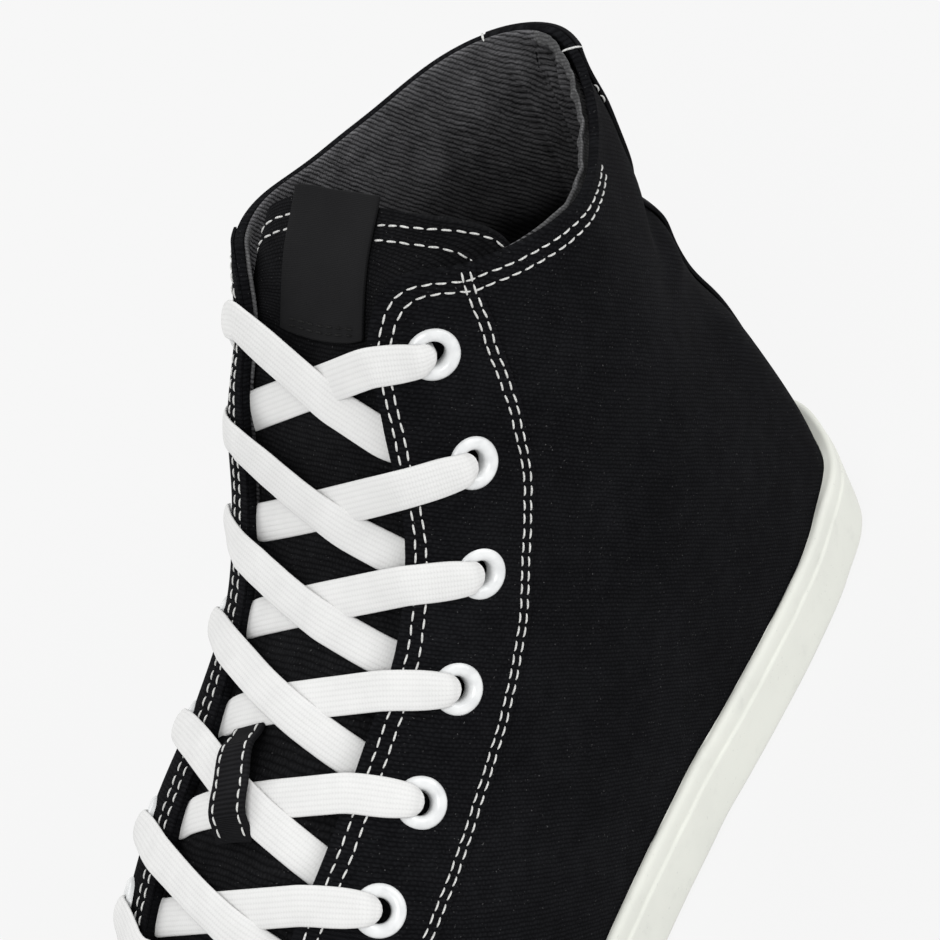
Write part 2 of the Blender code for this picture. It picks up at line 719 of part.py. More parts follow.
def make_backstay(material):
    """The strip down the heel, held just off the canvas from the rim to the collar."""
    back = LAST.station(len(SECTIONS) - 1)
    sweep = np.linspace(back - 60, back, 300)
    lowest = LAST.level_at_height(back, lambda a: rim(a) + 1.0)
    solid = Solid("backstay")
    rows, outs = [], []
    for v in np.linspace(lowest, 0.995, 9):
        breadth = LAST.point(sweep, v)[:, 1]
        row, directions = [], []
        for b in np.linspace(-1, 1, 7) * BACKSTAY_HALF_WIDTH:
            t = np.interp(abs(b), breadth[::-1], sweep[::-1])
            t = t if b >= 0 else LAST.period - t
            row.append(LAST.off(t, v, GAP + 0.1))
            directions.append(LAST.normal(t, v))
        rows.append(row)
        outs.append(directions)
    add_slab(solid, rows, BACKSTAY_THICKNESS, outs)
    return solid.make(material, smooth=50)


def clear_scene():
    for old in list(bpy.data.objects):
        bpy.data.objects.remove(old, do_unlink=True)


def main():
    clear_scene()
    canvas = finish_material("black_canvas", (0.012, 0.012, 0.013), 0.9)
    webbing = finish_material("black_webbing", (0.010, 0.010, 0.011), 0.85)
    satin = finish_material("black_satin", (0.008, 0.008, 0.009), 0.5)
    rubber = finish_material("off_white_rubber", (0.72, 0.73, 0.68), 0.55)
    tread = finish_material("tread_rubber", (0.66, 0.66, 0.61), 0.65)
    lining = finish_material("grey_lining", (0.09, 0.09, 0.09), 0.95)
    enamel = finish_material("white_enamel", (0.8, 0.8, 0.79), 0.3)
    lace = finish_material("white_lace", (0.78, 0.78, 0.76), 0.9)
    tongue = Tongue()
    make_outsole(tread)
    make_midsole(rubber)
    make_insole(lining)
    make_upper(canvas)
    make_tongue(tongue, canvas)
    make_backstay(webbing)
    make_eyelets(enamel)
    make_laces(tongue, lace)
    top = tongue.run[-1]
    low = tongue.nearest([98.5, 0, 144.5])
    runs = np.linspace(low, top - 0.5, 6)
    strip_on_tongue(
        "tongue_label", tongue, runs, [GAP + 0.3] * 6, LABEL_WIDTH, LABEL_THICKNESS, satin
    )
    centre = crossing_run(tongue, KEEPER_PAIR)
    keeper = [(-12, 0.5), (-9.5, 1.2), (-6.8, 3.3), (0, 3.7), (6.8, 3.3), (9.5, 1.2), (12, 0.5)]
    offsets, lifts = np.array(keeper).T
    strip_on_tongue(
        "lace_keeper", tongue, centre + offsets, lifts, KEEPER_WIDTH, KEEPER_THICKNESS, webbing
    )


main()
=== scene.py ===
"""The looks of a left high top canvas sneaker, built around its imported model.

Sizes are in millimetres and in shoemaker's coordinates: "a" runs forward from the back
of the heel, "b" outward to the lateral side (the wearer's left) and "z" up. placed()
turns them into the scene's metres, where the toe points along -X and the lateral side
along -Y.
"""

from __future__ import annotations

import logging
import math
from dataclasses import dataclass, field
from enum import Enum
from typing import Any, Callable, NamedTuple, Sequence

import bpy
import numpy as np
from mathutils import Matrix

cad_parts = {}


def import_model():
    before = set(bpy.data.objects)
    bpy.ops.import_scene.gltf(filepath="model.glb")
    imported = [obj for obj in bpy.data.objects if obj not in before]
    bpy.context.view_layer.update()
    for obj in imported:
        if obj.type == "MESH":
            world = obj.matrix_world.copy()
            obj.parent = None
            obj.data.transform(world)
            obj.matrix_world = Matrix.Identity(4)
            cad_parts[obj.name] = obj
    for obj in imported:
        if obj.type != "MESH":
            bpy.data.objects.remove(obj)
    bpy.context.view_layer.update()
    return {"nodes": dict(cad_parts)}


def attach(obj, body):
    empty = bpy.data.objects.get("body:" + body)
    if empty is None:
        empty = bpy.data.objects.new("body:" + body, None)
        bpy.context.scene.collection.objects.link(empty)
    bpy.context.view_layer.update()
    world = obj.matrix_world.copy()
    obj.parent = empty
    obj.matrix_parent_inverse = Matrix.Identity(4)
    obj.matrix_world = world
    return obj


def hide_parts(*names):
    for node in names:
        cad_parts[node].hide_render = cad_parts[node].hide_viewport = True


LOG = logging.getLogger("sneaker")
MM = 0.001
GAP = 0.3
WALL = 2.0
FOOT_LIFT = 0.6
CENTRE_A = 144.2502
CENTRE_B = 0.90602
Array = np.ndarray
Place = Callable[[Array, Array], Array]


class Section(NamedTuple):
    """One section of the last: its sole outline, its top, and how the wall joins them."""

    name: str
    sole_a: float
    lateral: float
    medial: float
    top_a: float
    top_lateral: float
    top_medial: float
    top_z: float
    low_out: float
    low_up: float
    high_out: float
    high_down: float
    medial_out: float
    medial_down: float


SECTIONS = [
    Section("toe_tip", 290, -7, 7, 259, -4, 4, 50, 1.5, 23, 20, 2.5, 20, 2.5),
    Section("toe_round", 283, 13, 26, 254, -3.5, 3.5, 51.5, 2, 23, 23, 2.5, 23, 2.5),
    Section("toe_side", 265, 31, 39.5, 244, -2.5, 2.5, 54, 3, 24, 25, 2.5, 25, 2.5),
    Section("forefoot", 238, 45, 47.5, 229, -1, 1, 58.5, 3, 26, 29, 3, 29, 3),
    Section("ball", 212, 50.3, 48.5, 212, 0, 0, 65, 3, 29, 33, 4, 33, 4),
    Section("throat_end", 199, 50.9, 46, 208.5, 0, 0, 66.5, 3, 31, 35, 4.5, 34, 4),
    Section("throat_round", 190, 50.8, 43.2, 206, 9.5, 9.5, 67, 3, 33, 27.5, 5.5, 26, 3.5),
    Section("vamp", 182, 50.3, 40.8, 198, 15.5, 15.5, 70.5, 3, 36, 25, 7.5, 25, 3.5),
    Section("low_instep", 166, 48.1, 36.4, 178, 18.8, 18.8, 79.3, 3, 38, 23.5, 10, 26, 2.5),
    Section("instep", 144, 44.6, 33.2, 152, 19, 19, 89.5, 3, 39.5, 20, 12.5, 25, 3),
    Section("high_instep", 123, 42.4, 32.2, 131, 19.8, 20.4, 101, 3, 40, 16.5, 15, 23, 5),
    Section("ankle_bend", 108, 41.2, 32.2, 117, 19.3, 21.4, 116.2, 3, 41, 15.5, 16.5, 22, 7),
    Section("shaft_front", 97, 40.2, 32.8, 107.4, 16.8, 19.8, 134, 3, 42, 18, 17.5, 22, 9),
    Section("throat_top", 88, 40, 33.6, 98.5, 14.5, 17.2, 148.5, 3, 42, 21, 19, 22, 15),
    Section("collar_corner", 81, 39.8, 34.5, 92, 18.5, 19.8, 156.5, 3, 42, 17, 23, 17, 22),
    Section("collar_front", 71, 39.5, 35.5, 82, 30, 29.2, 153.5, 3, 42, 8, 30, 8, 30),
    Section("collar_side", 50, 38.3, 37, 58, 38, 37, 147, 3.5, 38, -4, 42, -4, 42),
    Section("collar_rear", 30, 35.6, 35.3, 36, 28, 30.2, 143.6, 4.5, 35, -5, 46, -5, 46),
    Section("heel_side", 11, 29.2, 29, 20, 16.2, 16.2, 146.4, 5.5, 35, -6, 46, -6, 46),
    Section("heel_round", 1.4, 17.3, 17.3, 13.5, 8.2, 8.2, 147.8, 6, 35, -7, 46, -7, 46),
    Section("heel_back", -1.5, 0, 0, 11.3, 0, 0, 148, 6, 35, -7, 46, -7, 46),
]
THROAT_END = 5

GROUND = [(0, 0), (78, 0), (113, 0.5), (148, 0), (216, 0), (254, 3.6), (290, 9.5)]
SOLE_PLATE = [(0, 11), (70, 11), (170, 8), (290, 7)]
SIDEWALL_HEIGHT = [(0, 25.5), (12, 23), (45, 21), (90, 20.2), (200, 20.4), (290, 22)]
SIDEWALL_THICKNESS = [(0, 4.9), (14, 4.3), (45, 3.2), (240, 3.2), (290, 3.8)]


class EyeletPlace(NamedTuple):
    """Where a pair of eyelets stands, and where its lace crosses the throat's edges."""

    row: float
    from_edge: float
    lace_out: float
    medial_out: float
    lace_in: float


EYELETS = [
    EyeletPlace(13.57, 14.6, 12.66, 12.95, 11.80),
    EyeletPlace(12.50, 25.8, 11.38, 11.55, 10.67),
    EyeletPlace(11.12, 19.8, 10.46, 10.42, 9.77),
    EyeletPlace(9.86, 14.4, 9.52, 9.52, 8.92),
    EyeletPlace(8.86, 13.9, 8.70, 8.70, 8.15),
    EyeletPlace(8.04, 13.5, 7.86, 7.86, 7.30),
    EyeletPlace(7.25, 13.5, 6.90, 6.90, 6.90),
]
KEEPER_PAIR = 4


class TongueRow(NamedTuple):
    """One row of the tongue, from inside the vamp up to its free end."""

    row: float
    near_edge: float
    far_edge: float
    lift: float
    clear: float
    mid_a: float
    mid_z: float
    shoulder_a: float
    shoulder_b: float
    shoulder_z: float


TONGUE = [
    TongueRow(3.3, 9, 22, 0, 0.8, 222.0, 58.0, 222.0, 4, 57.9),
    TongueRow(4.6, 8, 20, 0, 1.5, 211.0, 60.6, 210.6, 5, 60.4),
    TongueRow(6.6, 4, 18, 0, 1.3, 197.0, 69.4, 197.0, 6, 69.0),
    TongueRow(8.0, 3, 17, 0, 1.3, 179.2, 82.0, 179.2, 9, 80.9),
    TongueRow(9.0, 3, 17, 0, 1.3, 153.2, 92.6, 153.0, 9, 91.3),
    TongueRow(10.0, 3, 17, 0, 1.3, 132.6, 103.6, 132.2, 9, 102.2),
    TongueRow(11.0, 3, 17, 0, 1.3, 118.2, 117.2, 117.6, 9, 116.0),
    TongueRow(12.0, 3, 18, 0, 1.3, 107.6, 133.4, 106.8, 8, 132.8),
    TongueRow(13.0, 3, 19, 0, 1.6, 98.0, 143.6, 97.4, 7, 143.6),
    TongueRow(14.0, 4, 22, 0, 2.2, 87.6, 153.6, 88.4, 10, 154.0),
]
# The tongue's top edge, from the medial side to the lateral one.
TONGUE_TOP = [
    (82.5, -22.5, 147.0), (80.0, -18.0, 159.5), (78.4, -12.0, 161.8), (77.5, 0.0, 161.3),
    (78.0, 21.0, 160.8), (72.0, 30.8, 151.5), (72.0, 33.5, 139.0),
]

# The rear edge of the eyestay panel, as section rows and levels of the wall, from the
# vamp seam up to the collar.
EYESTAY_REAR = [
    (6.0, 0.619), (7.0, 0.629), (8.01, 0.632), (8.91, 0.623), (9.64, 0.627),
    (10.52, 0.622), (11.73, 0.609), (12.60, 0.605), (13.24, 0.619), (13.91, 0.657),
    (14.21, 0.694), (14.40, 0.739), (14.66, 0.823), (14.81, 0.876), (14.92, 0.930),
    (15.05, 0.998),
]


class Side(Enum):
    """The shoe's two sides, as the sign of b."""

    LATERAL = 1
    MEDIAL = -1


def unit(v: Array) -> Array:
    """The vectors scaled to a length of one."""
    v = np.asarray(v, float)
    return v / np.linalg.norm(v, axis=-1, keepdims=True)


def soft_step(x: Array, low: float, high: float) -> Array:
    """Rises smoothly from 0 at low to 1 at high."""
    s = np.clip((np.asarray(x, float) - low) / (high - low), 0, 1)
    return s * s * (3 - 2 * s)


def placed(points: Array) -> Array:
    """Shoemaker's coordinates in millimetres as the scene's metres."""
    points = np.asarray(points, float)
    moved = [CENTRE_A - points[..., 0], CENTRE_B - points[..., 1], points[..., 2]]
    return np.stack(moved, -1) * MM


def eased(a: Array, table: Sequence[tuple[float, float]]) -> Array:
    """The height for each a, eased between the rows of a table.

    Args:
        a: Places along the shoe.
        table: Rows of (a, height).

    Returns:
        One height for each place.
    """
    at, height = np.array(table, float).T
    i = np.clip(np.searchsorted(at, a, "right") - 1, 0, len(at) - 2)
    s = np.clip((a - at[i]) / (at[i + 1] - at[i]), 0, 1)
    return height[i] + (height[i + 1] - height[i]) * s * s * (3 - 2 * s)


def ground(a: Array) -> Array:
    """The height of the sole's underside."""
    return eased(a, GROUND)


def plate_top(a: Array) -> Array:
    """The height of the sole's inside."""
    return ground(a) + eased(a, SOLE_PLATE)


def rim(a: Array) -> Array:
    """The height of the sidewall's top."""
    return ground(a) + eased(a, SIDEWALL_HEIGHT)


def through(points: Sequence[Any], steps: int) -> Array:
    """A smooth open curve through points.

    Args:
        points: Points, or rows of points, of one shape.
        steps: How many steps each gap gets.

    Returns:
        The points of the curve, the given ones among them.
    """
    given = np.asarray(points, float)
    flat = given.reshape(len(given), -1)
    gap = np.linalg.norm(np.diff(flat, axis=0), axis=1)
    slope = np.diff(flat, axis=0) / gap[:, None]
    before, after = gap[:-1, None], gap[1:, None]
    inner = (after * slope[:-1] + before * slope[1:]) / (before + after)
    slopes = np.vstack([slope[:1], inner, slope[-1:]])
    rows = []
    for i, length in enumerate(gap):
        for s in np.arange(steps) / steps:
            rows.append(
                (2 * s**3 - 3 * s**2 + 1) * flat[i]
                + (s**3 - 2 * s**2 + s) * length * slopes[i]
                + (3 * s**2 - 2 * s**3) * flat[i + 1]
                + (s**3 - s**2) * length * slopes[i + 1]
            )
    rows.append(flat[-1])
    return np.array(rows).reshape(-1, *given.shape[1:])


def runs_along(points: Array) -> Array:
    """How far along a line of points each one lies."""
    steps = np.linalg.norm(np.diff(points, axis=0), axis=1)
    return np.concatenate([[0], np.cumsum(steps)])


def read_line(points: Array, run: Array) -> Array:
    """The points of a line at distances along it."""
    at = runs_along(points)
    return np.stack([np.interp(run, at, points[:, k]) for k in range(points.shape[1])], -1)


class Track:
    """Rows of numbers joined smoothly round a closed loop, with some sharp corners."""

    def __init__(
        self, knots: Array, rows: Array, period: float, corners: Sequence[int] = ()
    ) -> None:
        """Joins the rows.

        Args:
            knots: Where each row stands, rising from 0.
            rows: The numbers at each knot.
            period: Where the loop comes back to its first row.
            corners: The rows at which the numbers turn sharply.
        """
        self.knots = np.append(knots, period)
        self.rows = np.vstack([rows, rows[:1]]).astype(float)
        self.period = period
        step = np.diff(self.knots)
        slope = np.diff(self.rows, axis=0) / step[:, None]
        before, after = np.roll(step, 1)[:, None], step[:, None]
        middle = (after * np.roll(slope, 1, axis=0) + before * slope) / (before + after)
        leaving, arriving = middle.copy(), middle.copy()
        for row in corners:
            arriving[row] = slope[row - 1]
            leaving[row] = slope[row]
        self.leaving = leaving
        self.arriving = np.vstack([arriving[1:], arriving[:1]])

    def __call__(self, t: Array) -> Array:
        """The row of numbers at each knot value."""
        t = np.asarray(t, float) % self.period
        i = np.clip(np.searchsorted(self.knots, t, "right") - 1, 0, len(self.knots) - 2)
        step = self.knots[i + 1] - self.knots[i]
        s = ((t - self.knots[i]) / step)[..., None]
        step = step[..., None]
        start, end = self.rows[i], self.rows[i + 1]
        return (
            (2 * s**3 - 3 * s**2 + 1) * start
            + (s**3 - 2 * s**2 + s) * step * self.leaving[i]
            + (3 * s**2 - 2 * s**3) * end
            + (s**3 - s**2) * step * self.arriving[i]
        )


class Last:
    """The outer surface of the upper, and the outline of the sole under it."""

    def __init__(self) -> None:
        """Lays the table's sections round the shoe."""

        def loop(lateral_row: Callable, medial_row: Callable) -> Array:
            """The rows of the lateral side from toe to heel, then the medial ones back."""
            lateral = [lateral_row(s) for s in SECTIONS]
            medial = [medial_row(s) for s in SECTIONS]
            return np.array(lateral + medial[-2:0:-1], float)

        sole = loop(lambda s: (s.sole_a, s.lateral), lambda s: (s.sole_a, -s.medial))
        top = loop(
            lambda s: (s.top_a, s.top_lateral, s.top_z),
            lambda s: (s.top_a, -s.top_medial, s.top_z),
        )
        lean = loop(
            lambda s: (s.low_out, s.low_up, s.high_out, s.high_down),
            lambda s: (s.low_out, s.low_up, s.medial_out, s.medial_down),
        )
        ends = np.hstack([sole, top])
        gaps = np.linalg.norm(np.diff(np.vstack([ends, ends[:1]]), axis=0), axis=1)
        gaps = (gaps + gaps[::-1]) / 2
        knots = np.concatenate([[0], np.cumsum(gaps)])
        self.period = float(knots[-1])
        self.knots = knots[:-1]
        corners = (THROAT_END, len(self.knots) - THROAT_END)
        self.sole = Track(self.knots, sole, self.period)
        self.top = Track(self.knots, top, self.period, corners)
        self.lean = Track(self.knots, lean, self.period)

    def station(self, row: Array, side: Side = Side.LATERAL) -> Array:
        """The knot of a section row, which may have a fraction, on one side."""
        knot = np.interp(row, range(len(SECTIONS)), self.knots[: len(SECTIONS)])
        return knot if side is Side.LATERAL else self.period - knot

    def outward(self, t: Array) -> Array:
        """The sole outline's outward direction in plan."""
        run = self.sole(np.asarray(t) + 0.5) - self.sole(np.asarray(t) - 0.5)
        return unit(np.stack([run[..., 1], -run[..., 0]], -1))

    def outline(self, t: Array, inset: Array = 0.0) -> Array:
        """The sole's outline in plan, moved inward."""
        return self.sole(t) - self.outward(t) * np.asarray(inset)[..., None]

    def point(self, t: Array, v: Array) -> Array:
        """The outer surface.

        Args:
            t: Knots round the shoe.
            v: Levels from 0 at the foot to 1 at the top edge.

        Returns:
            A point for each.
        """
        t, v = np.broadcast_arrays(np.asarray(t, float), np.asarray(v, float))
        wall = eased(self.sole(t)[..., 0], SIDEWALL_THICKNESS)
        foot = self.outline(t, wall)
        rest = plate_top(foot[..., 0]) + FOOT_LIFT
        foot = np.concatenate([foot, rest[..., None]], -1)
        top, lean, out = self.top(t), self.lean(t), self.outward(t)
        low = foot + np.concatenate([out * lean[..., 0:1], lean[..., 1:2]], -1)
        high = top + np.concatenate([out * lean[..., 2:3], -lean[..., 3:4]], -1)
        v = v[..., None]
        return (
            (1 - v) ** 3 * foot
            + 3 * (1 - v) ** 2 * v * low
            + 3 * (1 - v) * v**2 * high
            + v**3 * top
        )

    def normal(self, t: Array, v: Array) -> Array:
        """The surface's outward direction."""
        reach, share = 0.4, 0.01
        v = np.clip(v, share, 1 - share)
        along = self.point(t + reach, v) - self.point(t - reach, v)
        up = self.point(t, v + share) - self.point(t, v - share)
        return unit(np.cross(along, up))

    def off(self, t: Array, v: Array, distance: Array) -> Array:
        """A point off the surface, outward for a distance above 0."""
        return self.point(t, v) + self.normal(t, v) * np.asarray(distance)[..., None]

    def levels_below_top(self, t: Array, distance: Array) -> Array:
        """The levels that lie distances along the wall from its top edge.

        Args:
            t: One knot for each answer.
            distance: One distance in millimetres for each answer.

        Returns:
            One level for each knot.
        """
        t, distance = np.broadcast_arrays(np.asarray(t, float), np.asarray(distance, float))
        shape, t, distance = t.shape, t.ravel(), distance.ravel()
        v = np.linspace(1, 0, 160)
        unique, index = np.unique(t, return_inverse=True)
        wall = self.point(unique[:, None], v[None, :])
        steps = np.linalg.norm(np.diff(wall, axis=1), axis=-1)
        run = np.concatenate([np.zeros((len(unique), 1)), np.cumsum(steps, axis=1)], axis=1)
        found = [np.interp(d, run[i], v) for d, i in zip(distance, index.ravel())]
        return np.array(found).reshape(shape)

    def level_at_height(self, t: float, height_of: Callable) -> float:
        """The level where the wall first reaches a height that depends on a."""
        v = np.linspace(0, 0.5, 400)
        wall = self.point(t, v)
        return float(v[np.argmax(wall[:, 2] >= height_of(wall[:, 0]))])


LAST = Last()


class Ends(NamedTuple):
    """An eyelet's centre on the wall and the directions round it."""

    centre: Array
    out: Array
    down: Array
    across: Array


def eyelet_frame(index: int, side: Side) -> Ends:
    """The place and directions of one eyelet."""
    eyelet = EYELETS[index]
    t = float(LAST.station(eyelet.row, side))
    v = float(LAST.levels_below_top(t, eyelet.from_edge))
    out = LAST.normal(t, v)
    down = unit(LAST.point(t, v - 0.02) - LAST.point(t, v + 0.02))
    down = unit(down - out * (down @ out))
    return Ends(LAST.point(t, v), out, down, np.cross(out, down))


def cloth_plan(points: Array) -> Array:
    """Where points of the upper lie on the flat cloth that it was cut from.

    The ribs of the cloth run square to the throat's edge, and on the heel they go
    round the back.

    Args:
        points: Points in shoemaker's coordinates.

    Returns:
        For each, how far along its rib it lies, and how far across the ribs.
    """
    a, b, z = points[..., 0], points[..., 1], points[..., 2]
    heel = 1 - soft_step(a, 0, 28)
    vamp = soft_step(a, 178, 206)
    along_side = 0.656 * a + 0.755 * z - np.abs(b) * heel
    along_vamp = 75 * np.arctan2(b, z + 15)
    along = along_side * (1 - vamp) + along_vamp * vamp
    return np.stack([along, 0.755 * a - 0.656 * z], -1)


def deselect() -> None:
    """Leaves object mode with nothing selected."""
    if bpy.context.object is not None and bpy.context.object.mode != "OBJECT":
        bpy.ops.object.mode_set(mode="OBJECT")
    bpy.ops.object.select_all(action="DESELECT")


def choose(piece: bpy.types.Object) -> None:
    """Makes one piece the only selected and the active one."""
    deselect()
    piece.select_set(True)
    bpy.context.view_layer.objects.active = piece


def apply_modifier(piece: bpy.types.Object, kind: str, **settings: Any) -> None:
    """Adds a modifier with settings and applies it."""
    choose(piece)
    change = piece.modifiers.new(kind.lower(), kind)
    for name, value in settings.items():
        setattr(change, name, value)
    bpy.ops.object.modifier_apply(modifier=change.name)


def round_edges(
    piece: bpy.types.Object, width: float, segments: int = 2, angle: float = 60
) -> None:
    """Rounds a piece's edges that are sharper than an angle in degrees, by millimetres."""
    apply_modifier(
        piece, "BEVEL", width=width * MM, segments=segments, limit_method="ANGLE",
        angle_limit=math.radians(angle),
    )


def thicken(piece: bpy.types.Object, thickness: float, **settings: Any) -> None:
    """Gives a sheet its thickness in millimetres, on the side it faces away from."""
    apply_modifier(piece, "SOLIDIFY", thickness=thickness * MM, offset=-1.0, **settings)


def smooth(piece: bpy.types.Object, angle: float = 50) -> None:
    """Shades a piece smooth, apart from its sharp edges."""
    choose(piece)
    bpy.ops.object.shade_smooth_by_angle(angle=math.radians(angle), keep_sharp_edges=False)


def merge_doubles(piece: bpy.types.Object, distance: float = 0.02) -> None:
    """Joins points that lie within a distance in millimetres."""
    choose(piece)
    bpy.ops.object.mode_set(mode="EDIT")
    bpy.ops.mesh.select_all(action="SELECT")
    bpy.ops.mesh.remove_doubles(threshold=distance * MM)
    bpy.ops.mesh.normals_make_consistent(inside=False)
    bpy.ops.object.mode_set(mode="OBJECT")


def turn_outward() -> None:
    """Turns the active piece's faces outward."""
    bpy.ops.object.mode_set(mode="EDIT")
    bpy.ops.mesh.select_all(action="SELECT")
    bpy.ops.mesh.normals_make_consistent(inside=False)
    bpy.ops.object.mode_set(mode="OBJECT")


def corners_of(piece: bpy.types.Object) -> Array:
    """The piece's points in metres."""
    flat = np.empty(len(piece.data.vertices) * 3)
    piece.data.vertices.foreach_get("co", flat)
    return flat.reshape(-1, 3)


def lay_flat(piece: bpy.types.Object, spots: Array) -> None:
    """Sets the UV map, in units of 10 mm, from each point's place on the flat cloth."""
    corner = np.empty(len(piece.data.loops), np.int32)
    piece.data.loops.foreach_get("vertex_index", corner)
    layer = piece.data.uv_layers.active
    layer.data.foreach_set("uv", (spots[corner] / 10).astype(np.float32).ravel())


def sheet(
    name: str,
    across: int,
    along: int,
    place: Place,
    plan: Callable[[Array, Array, Array], Array] | None = None,
) -> bpy.types.Object:
    """A grid laid on a surface, facing the way that du x dw points.

    Args:
        name: The piece's name.
        across: How many steps u gets from 0 to 1.
        along: How many steps w gets from 0 to 1.
        place: Gives the points in shoemaker's coordinates for u and w.
        plan: Gives each point's place in millimetres on the flat cloth, from u, w and
            the point. Without it, cloth_plan does.

    Returns:
        The new object, with a UV map in units of 10 mm.
    """
    deselect()
    bpy.ops.mesh.primitive_grid_add(x_subdivisions=across, y_subdivisions=along, size=2)
    piece = bpy.context.object
    piece.name = name
    piece.data.name = name
    flat = corners_of(piece)
    u, w = (flat[:, 0] + 1) / 2, (flat[:, 1] + 1) / 2
    points = place(u, w)
    piece.data.vertices.foreach_set("co", placed(points).astype(np.float32).ravel())
    spots = cloth_plan(points) if plan is None else plan(u, w, points)
    lay_flat(piece, spots)
    piece.data.update()
    return piece


def dress(piece: bpy.types.Object, material: bpy.types.Material) -> bpy.types.Object:
    """Gives a piece one material in place of any other."""
    piece.data.materials.clear()
    piece.data.materials.append(material)
    return piece


def object_of(name: str, points: Array, faces: list) -> bpy.types.Object:
    """A new object with a UV map, from shoemaker's points and each face's point numbers."""
    mesh = bpy.data.meshes.new(name)
    mesh.from_pydata([tuple(p) for p in placed(points)], [], faces)
    mesh.uv_layers.new(name="UVMap")
    piece = bpy.data.objects.new(name, mesh)
    bpy.context.scene.collection.objects.link(piece)
    return piece


def taken_over(model: bpy.types.Object) -> tuple[Array, list]:
    """The points and faces of a primitive, which is removed."""
    shape = corners_of(model)
    faces = [tuple(face.vertices) for face in model.data.polygons]
    bpy.data.objects.remove(model)
    return shape, faces


def place_piece(
    piece: bpy.types.Object, replaces: Sequence[str] = ()
) -> bpy.types.Object:
    """Lets a finished piece ride on the shoe.

    Args:
        piece: The finished piece.
        replaces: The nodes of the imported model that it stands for.

    Returns:
        The same piece.
    """
    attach(piece, "root")
    if replaces:
        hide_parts(*replaces)
    LOG.info("%s: %d faces", piece.name, len(piece.data.polygons))
    return piece


class Value:
    """A number that varies over a surface, for Python's own operators."""

    def __init__(self, shade: "Shade", socket: Any) -> None:
        """Keeps the material's builder and the node's socket."""
        self.shade = shade
        self.socket = socket

    def _with(self, operation: str, *others: Any) -> "Value":
        """A Math node on this value and others."""
        return self.shade.maths(operation, self, *others)

    def __add__(self, other: Any) -> "Value":
        """The sum."""
        return self._with("ADD", other)

    def __sub__(self, other: Any) -> "Value":
        """The difference."""
        return self._with("SUBTRACT", other)

    def __rsub__(self, other: Any) -> "Value":
        """The difference from a number."""
        return self.shade.maths("SUBTRACT", other, self)

    def __mul__(self, other: Any) -> "Value":
        """The product."""
        return self._with("MULTIPLY", other)

    def __truediv__(self, other: Any) -> "Value":
        """The quotient."""
        return self._with("DIVIDE", other)

    __radd__ = __add__
    __rmul__ = __mul__

    def fraction(self) -> "Value":
        """What is left above the whole number."""
        return self._with("FRACT")

    def floor(self) -> "Value":
        """The whole number below."""
        return self._with("FLOOR")

    def size(self) -> "Value":
        """The value without its sign."""
        return self._with("ABSOLUTE")

    def sine(self) -> "Value":
        """The sine."""
        return self._with("SINE")

    def between(self, low: float, high: float) -> "Value":
        """0 below low, 1 above high, and smooth between."""
        made = self.shade.node(
            "ShaderNodeMapRange",
            {"interpolation_type": "SMOOTHSTEP"},
            {"Value": self, "From Min": low, "From Max": high},
        )
        return Value(self.shade, made.outputs["Result"])


